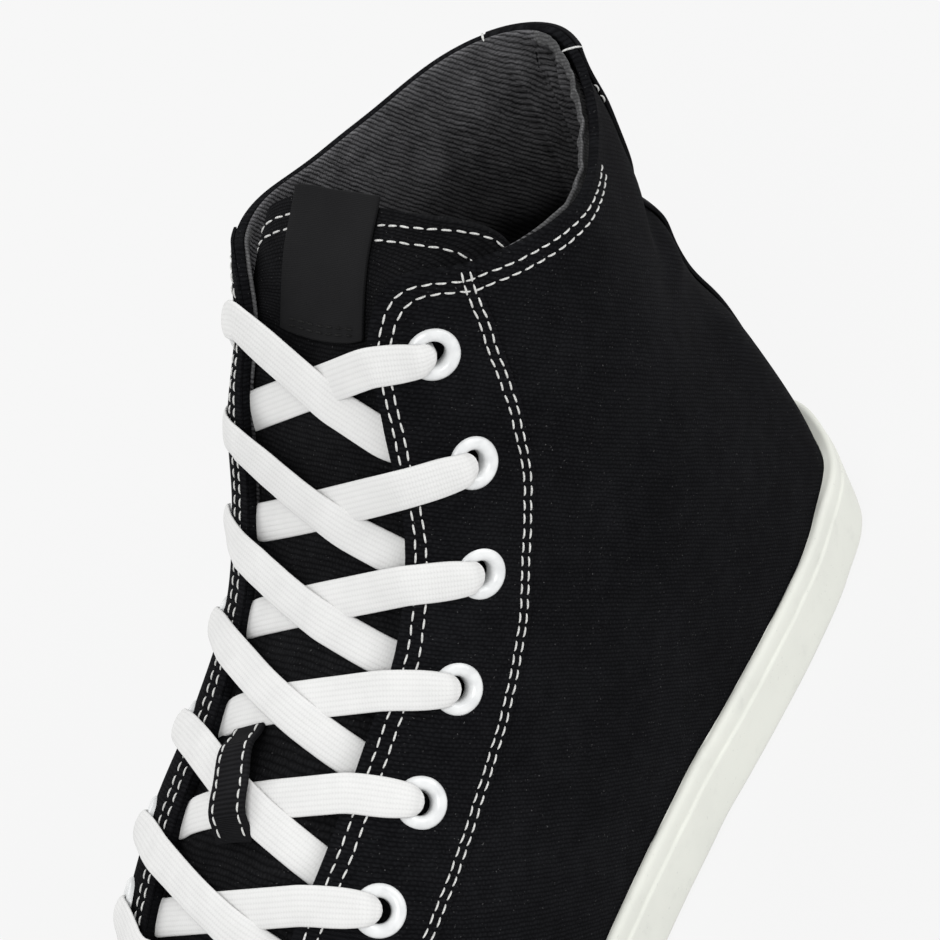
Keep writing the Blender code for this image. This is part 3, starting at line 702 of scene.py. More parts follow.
class Shade:
    """Builds the nodes of one material."""

    def __init__(self, name: str) -> None:
        """Starts a material with its one shader."""
        self.material = bpy.data.materials.new(name)
        self.material.use_nodes = True
        self.tree = self.material.node_tree
        self.shader = self.tree.nodes["Principled BSDF"]

    def node(self, kind: str, settings: dict[str, Any], inputs: dict[Any, Any]) -> Any:
        """Adds a node.

        Args:
            kind: The node's type.
            settings: What is set on the node itself, before its sockets.
            inputs: Values or links of its sockets, by name or number.

        Returns:
            The node.
        """
        made = self.tree.nodes.new(kind)
        for name, value in settings.items():
            setattr(made, name, value)
        for name, value in inputs.items():
            self.plug(made.inputs[name], value)
        return made

    def plug(self, socket: Any, value: Any) -> None:
        """Links a socket, or sets its value."""
        if isinstance(value, Value):
            value = value.socket
        if isinstance(value, bpy.types.NodeSocket):
            self.tree.links.new(value, socket)
        elif isinstance(value, tuple) and len(value) == 3 and socket.type == "RGBA":
            socket.default_value = (*value, 1)
        else:
            socket.default_value = value

    def maths(self, operation: str, *values: Any) -> Value:
        """A Math node on values and numbers."""
        made = self.node("ShaderNodeMath", {"operation": operation}, dict(enumerate(values)))
        return Value(self, made.outputs[0])

    def cloth_place(self) -> tuple[Value, Value]:
        """The place on the flat cloth in millimetres: along a rib, and across the ribs."""
        place = self.node("ShaderNodeTexCoord", {}, {}).outputs["UV"]
        parts = self.node("ShaderNodeSeparateXYZ", {}, {0: place})
        return Value(self, parts.outputs[0]) * 10, Value(self, parts.outputs[1]) * 10

    def where(self) -> Any:
        """The socket of the point's own coordinates in metres."""
        return self.node("ShaderNodeTexCoord", {}, {}).outputs["Object"]

    def noise(self, size: float, detail: float = 2, place: Any = None, rough: float = 0.5) -> Value:
        """Cloudy noise from 0 to 1.

        Args:
            size: About how many millimetres its spots are across.
            detail: How many finer layers it has.
            place: The socket of the place, or None for the point's own coordinates.
            rough: How strong the finer layers are.

        Returns:
            The noise.
        """
        made = self.node(
            "ShaderNodeTexNoise",
            {},
            {
                "Vector": self.where() if place is None else place,
                "Scale": 1 / (size * MM) if place is None else 1 / size,
                "Detail": detail,
                "Roughness": rough,
            },
        )
        return Value(self, made.outputs["Fac"])

    def vector(self, x: Any, y: Any, z: Any = 0.0) -> Any:
        """Three values as one vector socket."""
        return self.node("ShaderNodeCombineXYZ", {}, {0: x, 1: y, 2: z}).outputs[0]

    def blend(self, share: Any, low: Any, high: Any) -> Any:
        """A colour between two."""
        made = self.node("ShaderNodeMix", {"data_type": "RGBA"}, {0: share, 6: low, 7: high})
        return made.outputs[2]

    def bump(self, height: Value, depth: float, over: Any = None) -> Any:
        """The normal of a relief that is depth millimetres deep."""
        inputs = {"Height": height, "Distance": depth * MM, "Strength": 1.0}
        if over is not None:
            inputs["Normal"] = over
        return self.node("ShaderNodeBump", {}, inputs).outputs[0]

    def finish(self, **sockets: Any) -> bpy.types.Material:
        """Sets the shader's own sockets, with _ for a space in a name."""
        for name, value in sockets.items():
            self.plug(self.shader.inputs[name.replace("_", " ")], value)
        return self.material


@dataclass(frozen=True)
class Weave:
    """A plain ribbed cloth: thick weft ribs that fine warp threads tie down."""

    name: str
    dark: tuple[float, float, float]
    light: tuple[float, float, float]
    rib: float = 0.86
    tie: float = 1.15
    tie_share: float = 0.35
    slub: float = 3.2
    depth: float = 0.16
    roughness: float = 0.95
    lint: float = 0.5
    uneven: float = 0.6
    specks: float = 0.7
    # Heights in millimetres over which painted shade darkens the cloth towards the bottom, or None.
    painted_shade_heights: tuple[float, float] | None = None

    def build(self) -> bpy.types.Material:
        """The cloth's material."""
        shade = Shade(self.name)
        along, across = shade.cloth_place()
        drift = shade.noise(14, 2) - 0.5
        jitter = shade.noise(1.5, 2) - 0.5
        across = across + drift * 0.9 + jitter * 0.6
        row = (across / self.rib).floor()
        within = (across / self.rib).fraction() * 2 - 1
        crown = 1 - within * within
        shift = (row * 0.5).fraction() * math.pi * 2
        tied = (along * (math.pi * 2 / self.tie) + shift + jitter * 9).sine() * 0.5 + 0.5
        warp = ((along + drift * 1.4) * (math.pi * 2 / 0.66)).sine() * 0.5 + 0.5
        place = shade.vector(along / self.slub, across / 0.9)
        slub = shade.noise(1.0, 2, place)
        woven = tied * self.tie_share + warp * 0.15 + (0.85 - self.tie_share)
        height = (crown * 0.75 + 0.25) * woven * (slub * self.uneven + 1 - self.uneven * 0.5)
        patch = shade.noise(30, 3)
        fuzz = shade.noise(0.35, 2, None, 0.7)
        cloud = shade.noise(4.5, 2)
        lit = height * 0.5 + fuzz * self.lint * 0.7 + patch * 0.35 + cloud * 0.3 - 0.45
        colour = shade.blend(lit.between(0.0, 1.0), self.dark, self.light)
        # Painted shade: the colour sinks to the dark thread colour from the higher height down to the
        # lower one, for the shadow deep inside the shoe.
        if self.painted_shade_heights is not None:
            parts = shade.node("ShaderNodeSeparateXYZ", {}, {0: shade.where()})
            rise = (Value(shade, parts.outputs[2]) * 1000).between(*self.painted_shade_heights)
            colour = shade.blend(rise, self.dark, colour)
        specks = shade.noise(0.42, 1).between(0.735, 0.80) * self.specks
        colour = shade.blend(specks, colour, (0.11, 0.11, 0.11))
        relief = height + fuzz * 0.3
        return shade.finish(
            Base_Color=colour,
            Roughness=self.roughness,
            Specular_IOR_Level=0.03,
            Normal=shade.bump(relief, self.depth),
        )


@dataclass(frozen=True)
class Tape:
    """A narrow woven tape with fine cross ribs."""

    name: str
    dark: tuple[float, float, float]
    light: tuple[float, float, float]
    rib: float = 0.5
    depth: float = 0.06
    roughness: float = 0.85

    def build(self) -> bpy.types.Material:
        """The tape's material."""
        shade = Shade(self.name)
        along, across = shade.cloth_place()
        ribs = (across * (math.pi * 2 / self.rib)).sine() * 0.5 + 0.5
        grain = shade.noise(0.4, 2)
        patch = shade.noise(9, 2)
        height = ribs * 0.7 + grain * 0.6
        colour = shade.blend((height * 0.5 + patch * 0.5).between(0.2, 1.1), self.dark, self.light)
        return shade.finish(
            Base_Color=colour,
            Roughness=self.roughness,
            Specular_IOR_Level=0.06,
            Normal=shade.bump(height, self.depth),
        )


@dataclass(frozen=True)
class LaceKnit:
    """The flat lace's cotton: lengthwise ribs of small slanting stitches."""

    name: str = "white_cotton_lace"

    def build(self) -> bpy.types.Material:
        """The lace's material."""
        shade = Shade(self.name)
        along, across = shade.cloth_place()
        lane = across / 1.05
        within = lane.fraction() * 2 - 1
        ridge = 1 - within * within
        lean = within.size() * 0.35
        stitches = ((along / 0.62 + lean).fraction() * 2 - 1).size()
        threads = 1 - stitches * stitches
        fibre = shade.noise(0.25, 2)
        height = ridge * 0.45 + threads * 0.3 + fibre * 0.3
        soil = shade.noise(6, 2)
        tone = (height * 0.5 + soil * 0.5).between(0.0, 1.0)
        colour = shade.blend(tone, (0.575, 0.575, 0.57), (0.705, 0.705, 0.697))
        return shade.finish(
            Base_Color=colour,
            Roughness=0.86,
            Sheen_Weight=0.15,
            Specular_IOR_Level=0.3,
            Normal=shade.bump(height, 0.09),
        )


@dataclass(frozen=True)
class Rubber:
    """Moulded rubber with a faint mottle and fine specks."""

    name: str
    pale: tuple[float, float, float]
    grey: tuple[float, float, float]
    specks: float = 0.5
    roughness: float = 0.5
    tread: bool = False

    def build(self) -> bpy.types.Material:
        """The rubber's material."""
        shade = Shade(self.name)
        cloud = shade.noise(17, 3)
        grain = shade.noise(0.55, 2)
        speck = shade.noise(0.9, 1).between(0.70, 0.78)
        smudge = shade.noise(5, 3, None, 0.6).between(0.52, 0.8)
        share = cloud.between(0.3, 0.75) * 0.4 + smudge * 0.35 + speck * self.specks
        colour = shade.blend(share.between(0.0, 1.2), self.pale, self.grey)
        height = grain * 0.5 + shade.noise(3.5, 2)
        normal = shade.bump(height, 0.05)
        if self.tread:
            parts = shade.node("ShaderNodeSeparateXYZ", {}, {0: shade.where()})
            x, y = Value(shade, parts.outputs[0]) * 1000, Value(shade, parts.outputs[1]) * 1000
            zigzag = ((y / 7).fraction() * 2 - 1).size() * 4
            rows = ((x + zigzag) / 2.75).fraction()
            normal = shade.bump((rows - 0.5).size().between(0.14, 0.22), 0.5, normal)
        return shade.finish(
            Base_Color=colour,
            Roughness=(cloud * 0.15 + (self.roughness - 0.05)),
            Specular_IOR_Level=0.4,
            Normal=normal,
        )


@dataclass(frozen=True)
class Enamel:
    """Glossy paint on a small stamped ring, with faint pits."""

    name: str = "white_enamelled_metal"

    def build(self) -> bpy.types.Material:
        """The enamel's material."""
        shade = Shade(self.name)
        haze = shade.noise(2.5, 2)
        pits = shade.noise(0.5, 1)
        colour = shade.blend(haze.between(0.3, 0.8), (0.72, 0.73, 0.73), (0.60, 0.61, 0.615))
        return shade.finish(
            Base_Color=colour,
            Roughness=haze * 0.12 + 0.2,
            Coat_Weight=0.4,
            Coat_Roughness=0.12,
            Normal=shade.bump(pits + haze, 0.02),
        )


@dataclass(frozen=True)
class Thread:
    """Sewing thread, with the light and dark of its twist."""

    name: str
    dark: tuple[float, float, float]
    light: tuple[float, float, float]

    def build(self) -> bpy.types.Material:
        """The thread's material."""
        shade = Shade(self.name)
        twist = shade.noise(0.3, 2)
        colour = shade.blend(twist.between(0.3, 0.7), self.dark, self.light)
        return shade.finish(
            Base_Color=colour,
            Roughness=0.85,
            Specular_IOR_Level=0.1,
            Normal=shade.bump(twist, 0.06),
        )


@dataclass
class Finishes:
    """Every finish of the shoe, built once."""

    canvas: Any = Weave("black_canvas", (0.0023, 0.0023, 0.0028), (0.0136, 0.0140, 0.0158))
    tongue: Any = Weave(
        "black_tongue_canvas", (0.0028, 0.0028, 0.0032), (0.0170, 0.0172, 0.0185), rib=1.0, tie=1.3
    )
    lining: Any = Weave(
        "grey_lining_cloth", (0.005, 0.005, 0.0055), (0.215, 0.213, 0.222),
        rib=0.88, tie=2.1, tie_share=0.12, slub=4.5, depth=0.3, specks=0.0, uneven=1.1,
        # Painted shade: the lining darkens from 149 mm down to 88 mm above the ground.
        painted_shade_heights=(88, 149),
    )
    # Painted highlight: a lighter copy of the lining cloth for the parts of the rolled edge that catch
    # the light.
    lit_roll_cloth: Any = Weave(
        "grey_rolled_edge", (0.045, 0.045, 0.046), (0.185, 0.185, 0.188),
        rib=0.7, depth=0.08, specks=0.0,
    )
    webbing: Any = Tape("black_webbing", (0.003, 0.003, 0.0035), (0.015, 0.015, 0.0165))
    satin: Any = Tape(
        "black_satin", (0.0075, 0.0075, 0.008), (0.0135, 0.0135, 0.0142),
        rib=0.34, depth=0.02, roughness=0.7,
    )
    lace: Any = LaceKnit()
    enamel: Any = Enamel()
    rubber: Any = Rubber("off_white_rubber", (0.685, 0.695, 0.64), (0.55, 0.56, 0.52))
    tread: Any = Rubber(
        "tread_rubber", (0.66, 0.66, 0.61), (0.50, 0.50, 0.46), roughness=0.65, tread=True
    )
    white_thread: Any = Thread("white_thread", (0.42, 0.42, 0.41), (0.70, 0.70, 0.68))
    black_thread: Any = Thread("black_thread", (0.004, 0.004, 0.004), (0.02, 0.02, 0.02))

    def __post_init__(self) -> None:
        """Turns each finish into its material."""
        for name in list(self.__dataclass_fields__):
            setattr(self, name, getattr(self, name).build())


@dataclass
class Stitching:
    """Rows of stitches, one small thread shape copied along lines on the cloth."""

    name: str
    length: float = 2.0
    gap: float = 0.8
    width: float = 0.43
    height: float = 0.38
    points: list = field(default_factory=list)
    faces: list = field(default_factory=list)

    def __post_init__(self) -> None:
        """Models the one stitch that is copied."""
        deselect()
        bpy.ops.mesh.primitive_uv_sphere_add(segments=8, ring_count=7, radius=0.5)
        model = bpy.context.object
        bpy.ops.object.mode_set(mode="EDIT")
        bpy.ops.mesh.select_all(action="SELECT")
        bpy.ops.transform.rotate(value=math.pi / 2, orient_axis="Y", center_override=(0, 0, 0))
        bpy.ops.object.mode_set(mode="OBJECT")
        self.shape, self.sides = taken_over(model)

    def add(self, start: Array, end: Array, out: Array) -> None:
        """Adds one stitch that dives into the cloth at both ends.

        Args:
            start: Where the thread comes out.
            end: Where it goes in.
            out: The direction away from the cloth.
        """
        middle, along = (start + end) / 2, end - start
        length = float(np.linalg.norm(along))
        along = along / length
        side = unit(np.cross(out, along))
        up = np.cross(along, side)
        x, y, z = self.shape.T
        blunt = np.sign(x) * (np.abs(x) * 2) ** 0.75 / 2
        lift = 0.16 - 0.9 * self.height * np.abs(x * 2) ** 3
        shaped = (
            middle
            + np.outer(blunt * (length + 0.25), along)
            + np.outer(y * self.width, side)
            + np.outer(z * self.height + lift, up)
        )
        first = len(self.points)
        self.points += list(shaped)
        self.faces += [tuple(first + i for i in face) for face in self.sides]

    def row(self, line: Array, outs: Array, start: float = 0.0, end: float | None = None) -> None:
        """Sews along a line of points.

        Args:
            line: Points on the cloth, close together.
            outs: The direction away from the cloth at each.
            start: Where the first stitch begins.
            end: Where the last one ends, or None for the line's end.
        """
        at = runs_along(line)
        end = at[-1] if end is None else end
        pitch = self.length + self.gap
        count = max(1, int(round((end - start) / pitch)))
        pitch = (end - start) / count
        for k in range(count):
            sway = 0.08 * math.sin(k * 2.399) * self.length
            head = start + k * pitch + self.gap / 2 + sway * 0.5
            tail = start + (k + 1) * pitch - self.gap / 2 + sway * 0.5
            ends = read_line(line, np.array([head, tail]))
            out = np.array([np.interp((head + tail) / 2, at, outs[:, i]) for i in range(3)])
            side = unit(np.cross(out, ends[1] - ends[0]))
            lean = side * 0.10 * math.sin(k * 1.7 + 1)
            self.add(ends[0] - lean, ends[1] + lean, unit(out))

    def make(self, material: bpy.types.Material) -> bpy.types.Object:
        """All the stitches as one piece."""
        piece = object_of(self.name, np.array(self.points), self.faces)
        dress(piece, material)
        smooth(piece, 80)
        return piece


def level_line(rows: Sequence[tuple[float, float]], at: Array) -> tuple[Array, Array]:
    """The (row, level) line read at shares of its length, from 0 to 1."""
    fine = through([(row * 12, level * 100) for row, level in rows], 16)
    found = read_line(fine, at * runs_along(fine)[-1])
    return found[:, 0] / 12, found[:, 1] / 100


@dataclass
class Upper:
    """The canvas of the upper: vamp, quarters, eyestays and the strip down the heel."""

    finishes: Finishes
    seam_row: float = 6.0
    overlap: float = 0.35
    canvas: float = 2.0
    panel: float = 0.55
    panel_lift: float = 0.06
    panel_rows: tuple[float, float, float] = (6.0, 13.55, 15.05)
    collar_rows: tuple[float, float] = (2.8, 5.4)
    throat_rows: tuple[float, float] = (2.4, 4.9)
    eyestay_rows: tuple[float, float] = (1.1, 2.75)
    strip_half: float = 11.6
    strip_thickness: float = 0.9
    corner_knots: float = 28.3

    def crease(self, t: Array, v: Array) -> Array:
        """How far soft troughs and ridges move the wall, along listed lines.

        Args:
            t: Knots round the shoe.
            v: Levels of the wall.

        Returns:
            The distance outward in millimetres.
        """
        points = LAST.point(t, v)
        a, b, z = points[..., 0], points[..., 1], points[..., 2]
        moved = np.zeros(a.shape)
        # Each line: a and z of its two ends, half width, and depth, on both sides.
        lines = [
            ((-2, 112), (34, 100), 7, -0.7),
            ((4, 96), (44, 86), 8, -0.6),
            ((2, 104), (40, 94), 5, 0.35),
            ((60, 96), (92, 84), 8, -0.45),
            ((56, 84), (88, 72), 7, 0.3),
            ((30, 128), (62, 116), 9, -0.4),
            ((120, 62), (146, 44), 9, -0.35),
            ((176, 50), (196, 34), 8, -0.4),
            ((212, 58), (226, 30), 7, -0.5),
            ((222, 56), (238, 28), 6, 0.3),
            ((-6, 80), (20, 80), 11, -1.9),
            ((-4, 95), (22, 95), 5, 0.6),
            ((-4, 106), (22, 106), 6, -1.7),
            ((-4, 134), (24, 132), 15, 1.5),
        ]
        for (a0, z0), (a1, z1), half, depth in lines:
            along = np.array([a1 - a0, z1 - z0], float)
            length = np.linalg.norm(along)
            along /= length
            run = (a - a0) * along[0] + (z - z0) * along[1]
            miss = (a - a0) * along[1] - (z - z0) * along[0]
            past = np.maximum(np.maximum(-run, run - length), 0)
            moved = moved + depth * np.exp(-((miss / half) ** 2) - (past / (half * 1.4)) ** 2)
        wave = 0.18 * np.sin(a / 17.0 + z / 23.0) * np.sin(z / 13.0 - a / 31.0 + b / 40.0)
        free = soft_step(z - rim(a), 2, 16) * soft_step(1 - v, 0.0, 0.12)
        return (moved + wave) * free

    def sway(self, t: Array, v: Array) -> tuple[Array, Array]:
        """How far the far collar leans outward and rises, in millimetres."""
        points = LAST.point(t, v)
        a, b = points[..., 0], points[..., 1]
        near_heel, before = np.exp(-(((a - 23) / 11) ** 2)), np.exp(-(((a - 55) / 12) ** 2))
        share = soft_step(-b, 3, 15) * soft_step(v, 0.6, 0.97)
        return (1.8 * near_heel - 1.9 * before) * share, (0.9 * near_heel - 1.0 * before) * share

    def wall(self, t: Array, v: Array, lift: Array) -> Array:
        """A point off the creased wall."""
        lift = np.broadcast_to(np.asarray(lift, float), np.shape(t))
        lean, rise = self.sway(t, v)
        points = LAST.off(t, v, self.crease(t, v) + lean + lift)
        points[..., 2] += rise
        return points

    def spread_levels(self, w: Array) -> Array:
        """Levels that crowd a little towards the top edge."""
        return np.clip(w + 0.06 * np.sin(w * math.pi) * w, 0, 1)

    def make_vamp(self) -> bpy.types.Object:
        """The toe piece, from under one quarter round the toe to under the other."""
        end = float(LAST.station(self.seam_row + 0.55))

        def place(u: Array, w: Array) -> Array:
            """The toe piece's surface, lower where the quarters cover it."""
            t = (u * 2 - 1) * end
            v = self.spread_levels(w)
            seam = soft_step(np.abs(t), LAST.station(self.seam_row) - 7, LAST.station(self.seam_row))
            return self.wall(t % LAST.period, v, -1.15 * seam)

        vamp = sheet("vamp", 240, 62, place)
        merge_doubles(vamp)
        self.ease_ridge(vamp)
        thicken(vamp, 0.9, material_offset=1)
        dress(vamp, self.finishes.canvas)
        vamp.data.materials.append(self.finishes.lining)
        smooth(vamp)
        return place_piece(vamp, ["upper"])

    def ease_ridge(self, vamp: bpy.types.Object) -> None:
        """Smooths the vamp where its two sides meet along the top."""
        flat = corners_of(vamp)
        a = CENTRE_A - flat[:, 0] / MM
        ridge = LAST.top(LAST.station(np.linspace(0, THROAT_END, 40)))
        near = np.interp(a, ridge[::-1, 0], ridge[::-1, 2]) - flat[:, 2] / MM < 2.2
        inside = (a > ridge[-1, 0] + 1.5) & (a < ridge[0, 0] + 14)
        vamp.data.vertices.foreach_set("select", near & inside)
        choose(vamp)
        vamp.data.polygons.foreach_set("select", np.zeros(len(vamp.data.polygons), bool))
        vamp.data.edges.foreach_set("select", np.zeros(len(vamp.data.edges), bool))
        bpy.ops.object.mode_set(mode="EDIT")
        bpy.ops.mesh.select_mode(type="VERT")
        bpy.ops.object.mode_set(mode="OBJECT")
        vamp.data.vertices.foreach_set("select", near & inside)
        bpy.ops.object.mode_set(mode="EDIT")
        bpy.ops.mesh.vertices_smooth(factor=0.5, repeat=14)
        bpy.ops.object.mode_set(mode="OBJECT")

    def make_quarters(self, holes: bpy.types.Object) -> bpy.types.Object:
        """The canvas of both sides and the heel, in one piece that overlaps the vamp."""
        start = float(LAST.station(self.seam_row))

        def place(u: Array, w: Array) -> Array:
            """The wall from one seam round the heel to the other."""
            t = start + u * (LAST.period - 2 * start)
            return self.wall(t, self.spread_levels(w), 0.0)

        quarters = sheet("quarters", 300, 74, place)
        thicken(quarters, self.canvas)
        round_edges(quarters, 0.75, segments=4)
        cut(quarters, holes)
        dress(quarters, self.finishes.canvas)
        smooth(quarters)
        return place_piece(quarters)

    def make_eyestay(self, side: Side, holes: bpy.types.Object) -> bpy.types.Object:
        """The panel that carries the eyelets, laid on one quarter.

        Args:
            side: Which side it is on.
            holes: The punches for the eyelets.

        Returns:
            The finished panel.
        """

        def place(u: Array, w: Array) -> Array:
            """The panel from the throat's edge back to its rear edge."""
            first, corner, last = self.panel_rows
            front_row = first + u * (corner - first)
            top_row = corner + w * (last - corner)
            rear_row, rear_level = level_line(EYESTAY_REAR, u)
            close = soft_step(u, 0.9, 1.0)
            row = front_row * (1 - w) + rear_row * w
            level = (1 - w) + rear_level * w
            row = row * (1 - close) + (row + (top_row - row) * close) * close
            level = level * (1 - close) + (level + (1 - level) * close) * close
            t = LAST.station(row, side)
            return self.wall(t, np.clip(level, 0, 1), self.panel_lift + self.panel)

        name = f"eyestay_{side.name.lower()}"
        laid = place if side is Side.MEDIAL else lambda u, w: place(u, 1 - w)
        panel = sheet(name, 220, 44, laid)
        thicken(panel, self.panel)
        round_edges(panel, 0.2)
        cut(panel, holes)
        dress(panel, self.finishes.canvas)
        smooth(panel)
        return place_piece(panel)

    def make_heel_strip(self) -> bpy.types.Object:
        """The tape that covers the seam at the back of the heel."""
        back = float(LAST.station(len(SECTIONS) - 1))
        half, thickness = self.strip_half, self.strip_thickness
        sweep = np.linspace(back - 60, back, 300)
        lowest = LAST.level_at_height(back, lambda a: rim(a) - 2.0)

        def place(u: Array, w: Array) -> Array:
            """The strip at its own breadth round the back."""
            v = lowest + w * (0.998 - lowest)
            b = (1 - u * 2) * half
            t = np.empty(len(u))
            for level in np.unique(v):
                here = v == level
                breadth = LAST.point(sweep, level)[:, 1]
                t[here] = np.interp(np.abs(b[here]), breadth[::-1], sweep[::-1])
            t = np.where(b >= 0, t, LAST.period - t)
            return self.wall(t, v, GAP + 0.05 + thickness)

        strip = sheet(
            "heel_strip", 24, 120, place, lambda u, w, p: np.stack([(u - 0.5) * 2 * half, w * 124], -1)
        )
        thicken(strip, thickness)
        round_edges(strip, 0.25)
        dress(strip, self.finishes.webbing)
        smooth(strip)
        return place_piece(strip, ["backstay"])

    def make_stitches(self) -> bpy.types.Object:
        """The white double rows of the collar, the throat and the eyestays."""
        thread = Stitching("upper_stitches")
        lift = self.panel_lift + self.panel
        for side in Side:
            for collar, throat in zip(self.collar_rows, self.throat_rows):
                t_rows = np.concatenate([np.linspace(6.05, 13.3, 240), np.linspace(13.32, 16.75, 160)])
                t = LAST.station(t_rows, side)
                below = throat + (collar - throat) * soft_step(t_rows, 13.0, 14.2)
                v = LAST.levels_below_top(t, below)
                high = np.where(t_rows < 15.0, lift, 0.0)
                points = self.wall(t, v, high)
                thread.row(points, LAST.normal(t, v))
            for inward in self.eyestay_rows:
                rows, levels = level_line(EYESTAY_REAR, np.linspace(0.004, 0.995, 400))
                t = LAST.station(rows, side)
                points, outs = self.wall(t, levels, lift), LAST.normal(t, levels)
                along = unit(np.gradient(points, axis=0))
                inside = unit(np.cross(outs, along)) * side.value
                thread.row(points + inside * inward, outs)
        return place_piece(thread.make(self.finishes.white_thread))

    def make_bar_stitches(self) -> bpy.types.Object:
        """The short white stitches at the heel strip's corners and along its near edge."""
        thread = Stitching("heel_stitches", width=0.55, height=0.45)
        back = float(LAST.station(len(SECTIONS) - 1))
        for side in Side:
            t = back - side.value * (self.corner_knots + np.array([0.3, -0.3]))
            ends = self.wall(t, np.array([0.995, 0.995]), np.array([1.1, -3.2]))
            thread.add(ends[0] + [0, 0, 0.5], ends[1] + [0, 0, 0.9], np.array([0.0, 0.0, 1.0]))
            t = np.full(2, back - side.value * 31.0)
            for below, low in ((9.0, 10.8), (12.0, 13.8)):
                levels = LAST.levels_below_top(t, np.array([below, low]))
                ends = self.wall(t, levels, 0.35)
                thread.add(ends[0], ends[1], LAST.normal(t[0], levels[0]))
        return place_piece(thread.make(self.finishes.white_thread))

    def build(self, holes: bpy.types.Object) -> None:
        """Builds every canvas piece of the upper."""
        self.make_vamp()
        self.make_quarters(holes)
        for side in Side:
            self.make_eyestay(side, holes)
        self.make_heel_strip()
        self.make_bar_stitches()
        self.make_stitches()


def cut(piece: bpy.types.Object, cutter: bpy.types.Object) -> None:
    """Takes one closed shape away from another."""
    apply_modifier(piece, "BOOLEAN", operation="DIFFERENCE", solver="EXACT", object=cutter)


@dataclass
class Lining:
    """The grey cloth inside, rolled over the edge of the collar and the throat."""

    finishes: Finishes
    upper: Upper
    crowding: float = 0.72
    columns: int = 390
    first_row: float = 5.35
    thickness: float = 0.5

    def folds(self, t: Array, below: Array) -> Array:
        """How far the loose cloth stands away from the wall.

        Args:
            t: Knots round the shoe.
            below: Distances below the top edge.

        Returns:
            The distance inward in millimetres.
        """
        run = self.round_collar(t)
        moved = np.zeros(np.shape(t))
        # Each fold: its distance round the collar from the heel's back at its top and at its
        # foot, how far down it starts and ends, half width, and how far it stands out.
        lines = [
            (-7.2, -5.2, 6, 22, 2.6, 3.0),
            (0.2, 0.8, 10, 45, 1.5, 2.0),
            (8, 7, 6, 55, 2.6, 2.2),
            (22, 16, 10, 70, 4.5, 1.7),
            (36, 44, 18, 76, 5.5, 1.2),
            (50, 62, 24, 70, 6.0, 0.9),
        ]
        for top, foot, high, low, half, out in lines:
            share = np.clip((below - high) / (low - high), 0, 1)
            middle = top + (foot - top) * share
            fade = soft_step(below, high - 4, high + 6) * (1 - soft_step(below, low - 8, low + 14))
            moved = moved + out * fade * np.exp(-(((run - middle) / half) ** 2))
        seam = np.exp(-(((run - 1.0 - 3.0 * soft_step(below, 0, 14)) / 0.6) ** 2)) * 0.5
        return moved - seam * soft_step(below, 2, 6)

    def round_collar(self, t: Array) -> Array:
        """Distances round the collar from the heel's back, medial ones positive."""
        back = float(LAST.station(len(SECTIONS) - 1))
        fine = np.linspace(back - 180, back + 180, 721)
        run = runs_along(LAST.point(fine, np.ones(len(fine))))
        return np.interp(t, fine, run - np.interp(back, fine, run))

    def knot(self, u: Array) -> Array:
        """The knot of each share of the lining's length, with most columns at the heel."""
        start = float(LAST.station(self.first_row))
        share = u + self.crowding * np.sin(2 * np.pi * u) / (2 * np.pi)
        return start + share * (LAST.period - 2 * start)

    def build(self, holes: bpy.types.Object) -> None:
        """The lining, its rolled edge among it."""
        start = float(LAST.station(self.first_row))
        # The path over the edge: the distance below the top, and the distance inward.
        path = [
            (3.0, 2.05), (1.2, 2.05), (0.35, 2.1), (0.02, 2.3), (-0.02, 2.6), (0.3, 2.9),
            (1.0, 3.0), (2.0, 2.92), (3.2, 2.75), (6.0, 2.5),
        ]
        head = through(path, 4)
        lengths = self.wall_length(start)
        low, high = LAST.station(np.array([12.1, 12.7])), LAST.station(np.array([15.2, 15.8]))

        def tucked(t: Array) -> Array:
            """Where the near collar's roll sits lower than the canvas edge, from 0 to 1."""
            return soft_step(t, *low) * (1 - soft_step(t, *high))

        def place(u: Array, w: Array) -> Array:
            """The cloth over the edge and down the inside."""
            t = self.knot(u)
            count = len(head) - 1
            split = 0.34
            on_edge = w < split
            below = np.interp(w, np.linspace(0, split, count + 1), head[:, 0])
            depth = np.interp(w, np.linspace(0, split, count + 1), head[:, 1])
            reach = np.interp(t, lengths[0], lengths[1])
            share = np.clip((w - split) / (1 - split), 0, 1)
            below = np.where(on_edge, below, 6.0 + share * (reach - 8.0))
            depth = np.where(on_edge, depth, 2.4 - 0.2 * soft_step(share, 0, 0.2))
            below = below + tucked(t) * np.where(on_edge, 0.6, 0.0)
            v = LAST.levels_below_top(t, np.maximum(below, 0))
            puff = self.puff(t)
            inward = depth + self.folds(t, below) + puff * 1.3 * np.exp(-(((below - 1.4) / 1.8) ** 2))
            below = below - puff * 0.5 * np.exp(-((below / 0.5) ** 2))
            point = self.upper.wall(t, v, -inward)
            up = unit(LAST.point(t, 1.0) - LAST.point(t, 0.985))
            return point + up * np.maximum(-below, 0)[:, None]

        def plan(u: Array, w: Array, points: Array) -> Array:
            """Ribs that climb towards the heel on both sides."""
            a, b, z = points[..., 0], points[..., 1], points[..., 2]
            return np.stack([a * 0.524 + z * 0.852 + np.abs(b) * 0.2, a * 0.852 - z * 0.524], -1)

        lining = sheet("lining", self.columns, 100, place, plan)
        dress(lining, self.finishes.lining)
        lining.data.materials.append(self.finishes.lit_roll_cloth)
        # Painted highlight: only the top rows of the roll, on the lateral side round the heel and along
        # the medial facing, take the lighter copy of the lining cloth, where the roll catches the
        # light.
        order = np.arange(len(lining.data.polygons))
        knot = self.knot((order % self.columns + 0.5) / self.columns)
        rear = (knot > LAST.station(15.6)) & (knot < LAST.station(19.9))
        facing = (knot < LAST.station(12.2, Side.MEDIAL)) & (knot > LAST.station(15, Side.MEDIAL))
        rolled = (order // self.columns < 25) & (rear | facing)
        lining.data.polygons.foreach_set("material_index", rolled.astype(np.int32))
        thicken(lining, self.thickness)
        cut(lining, holes)
        smooth(lining, 70)
        place_piece(lining)

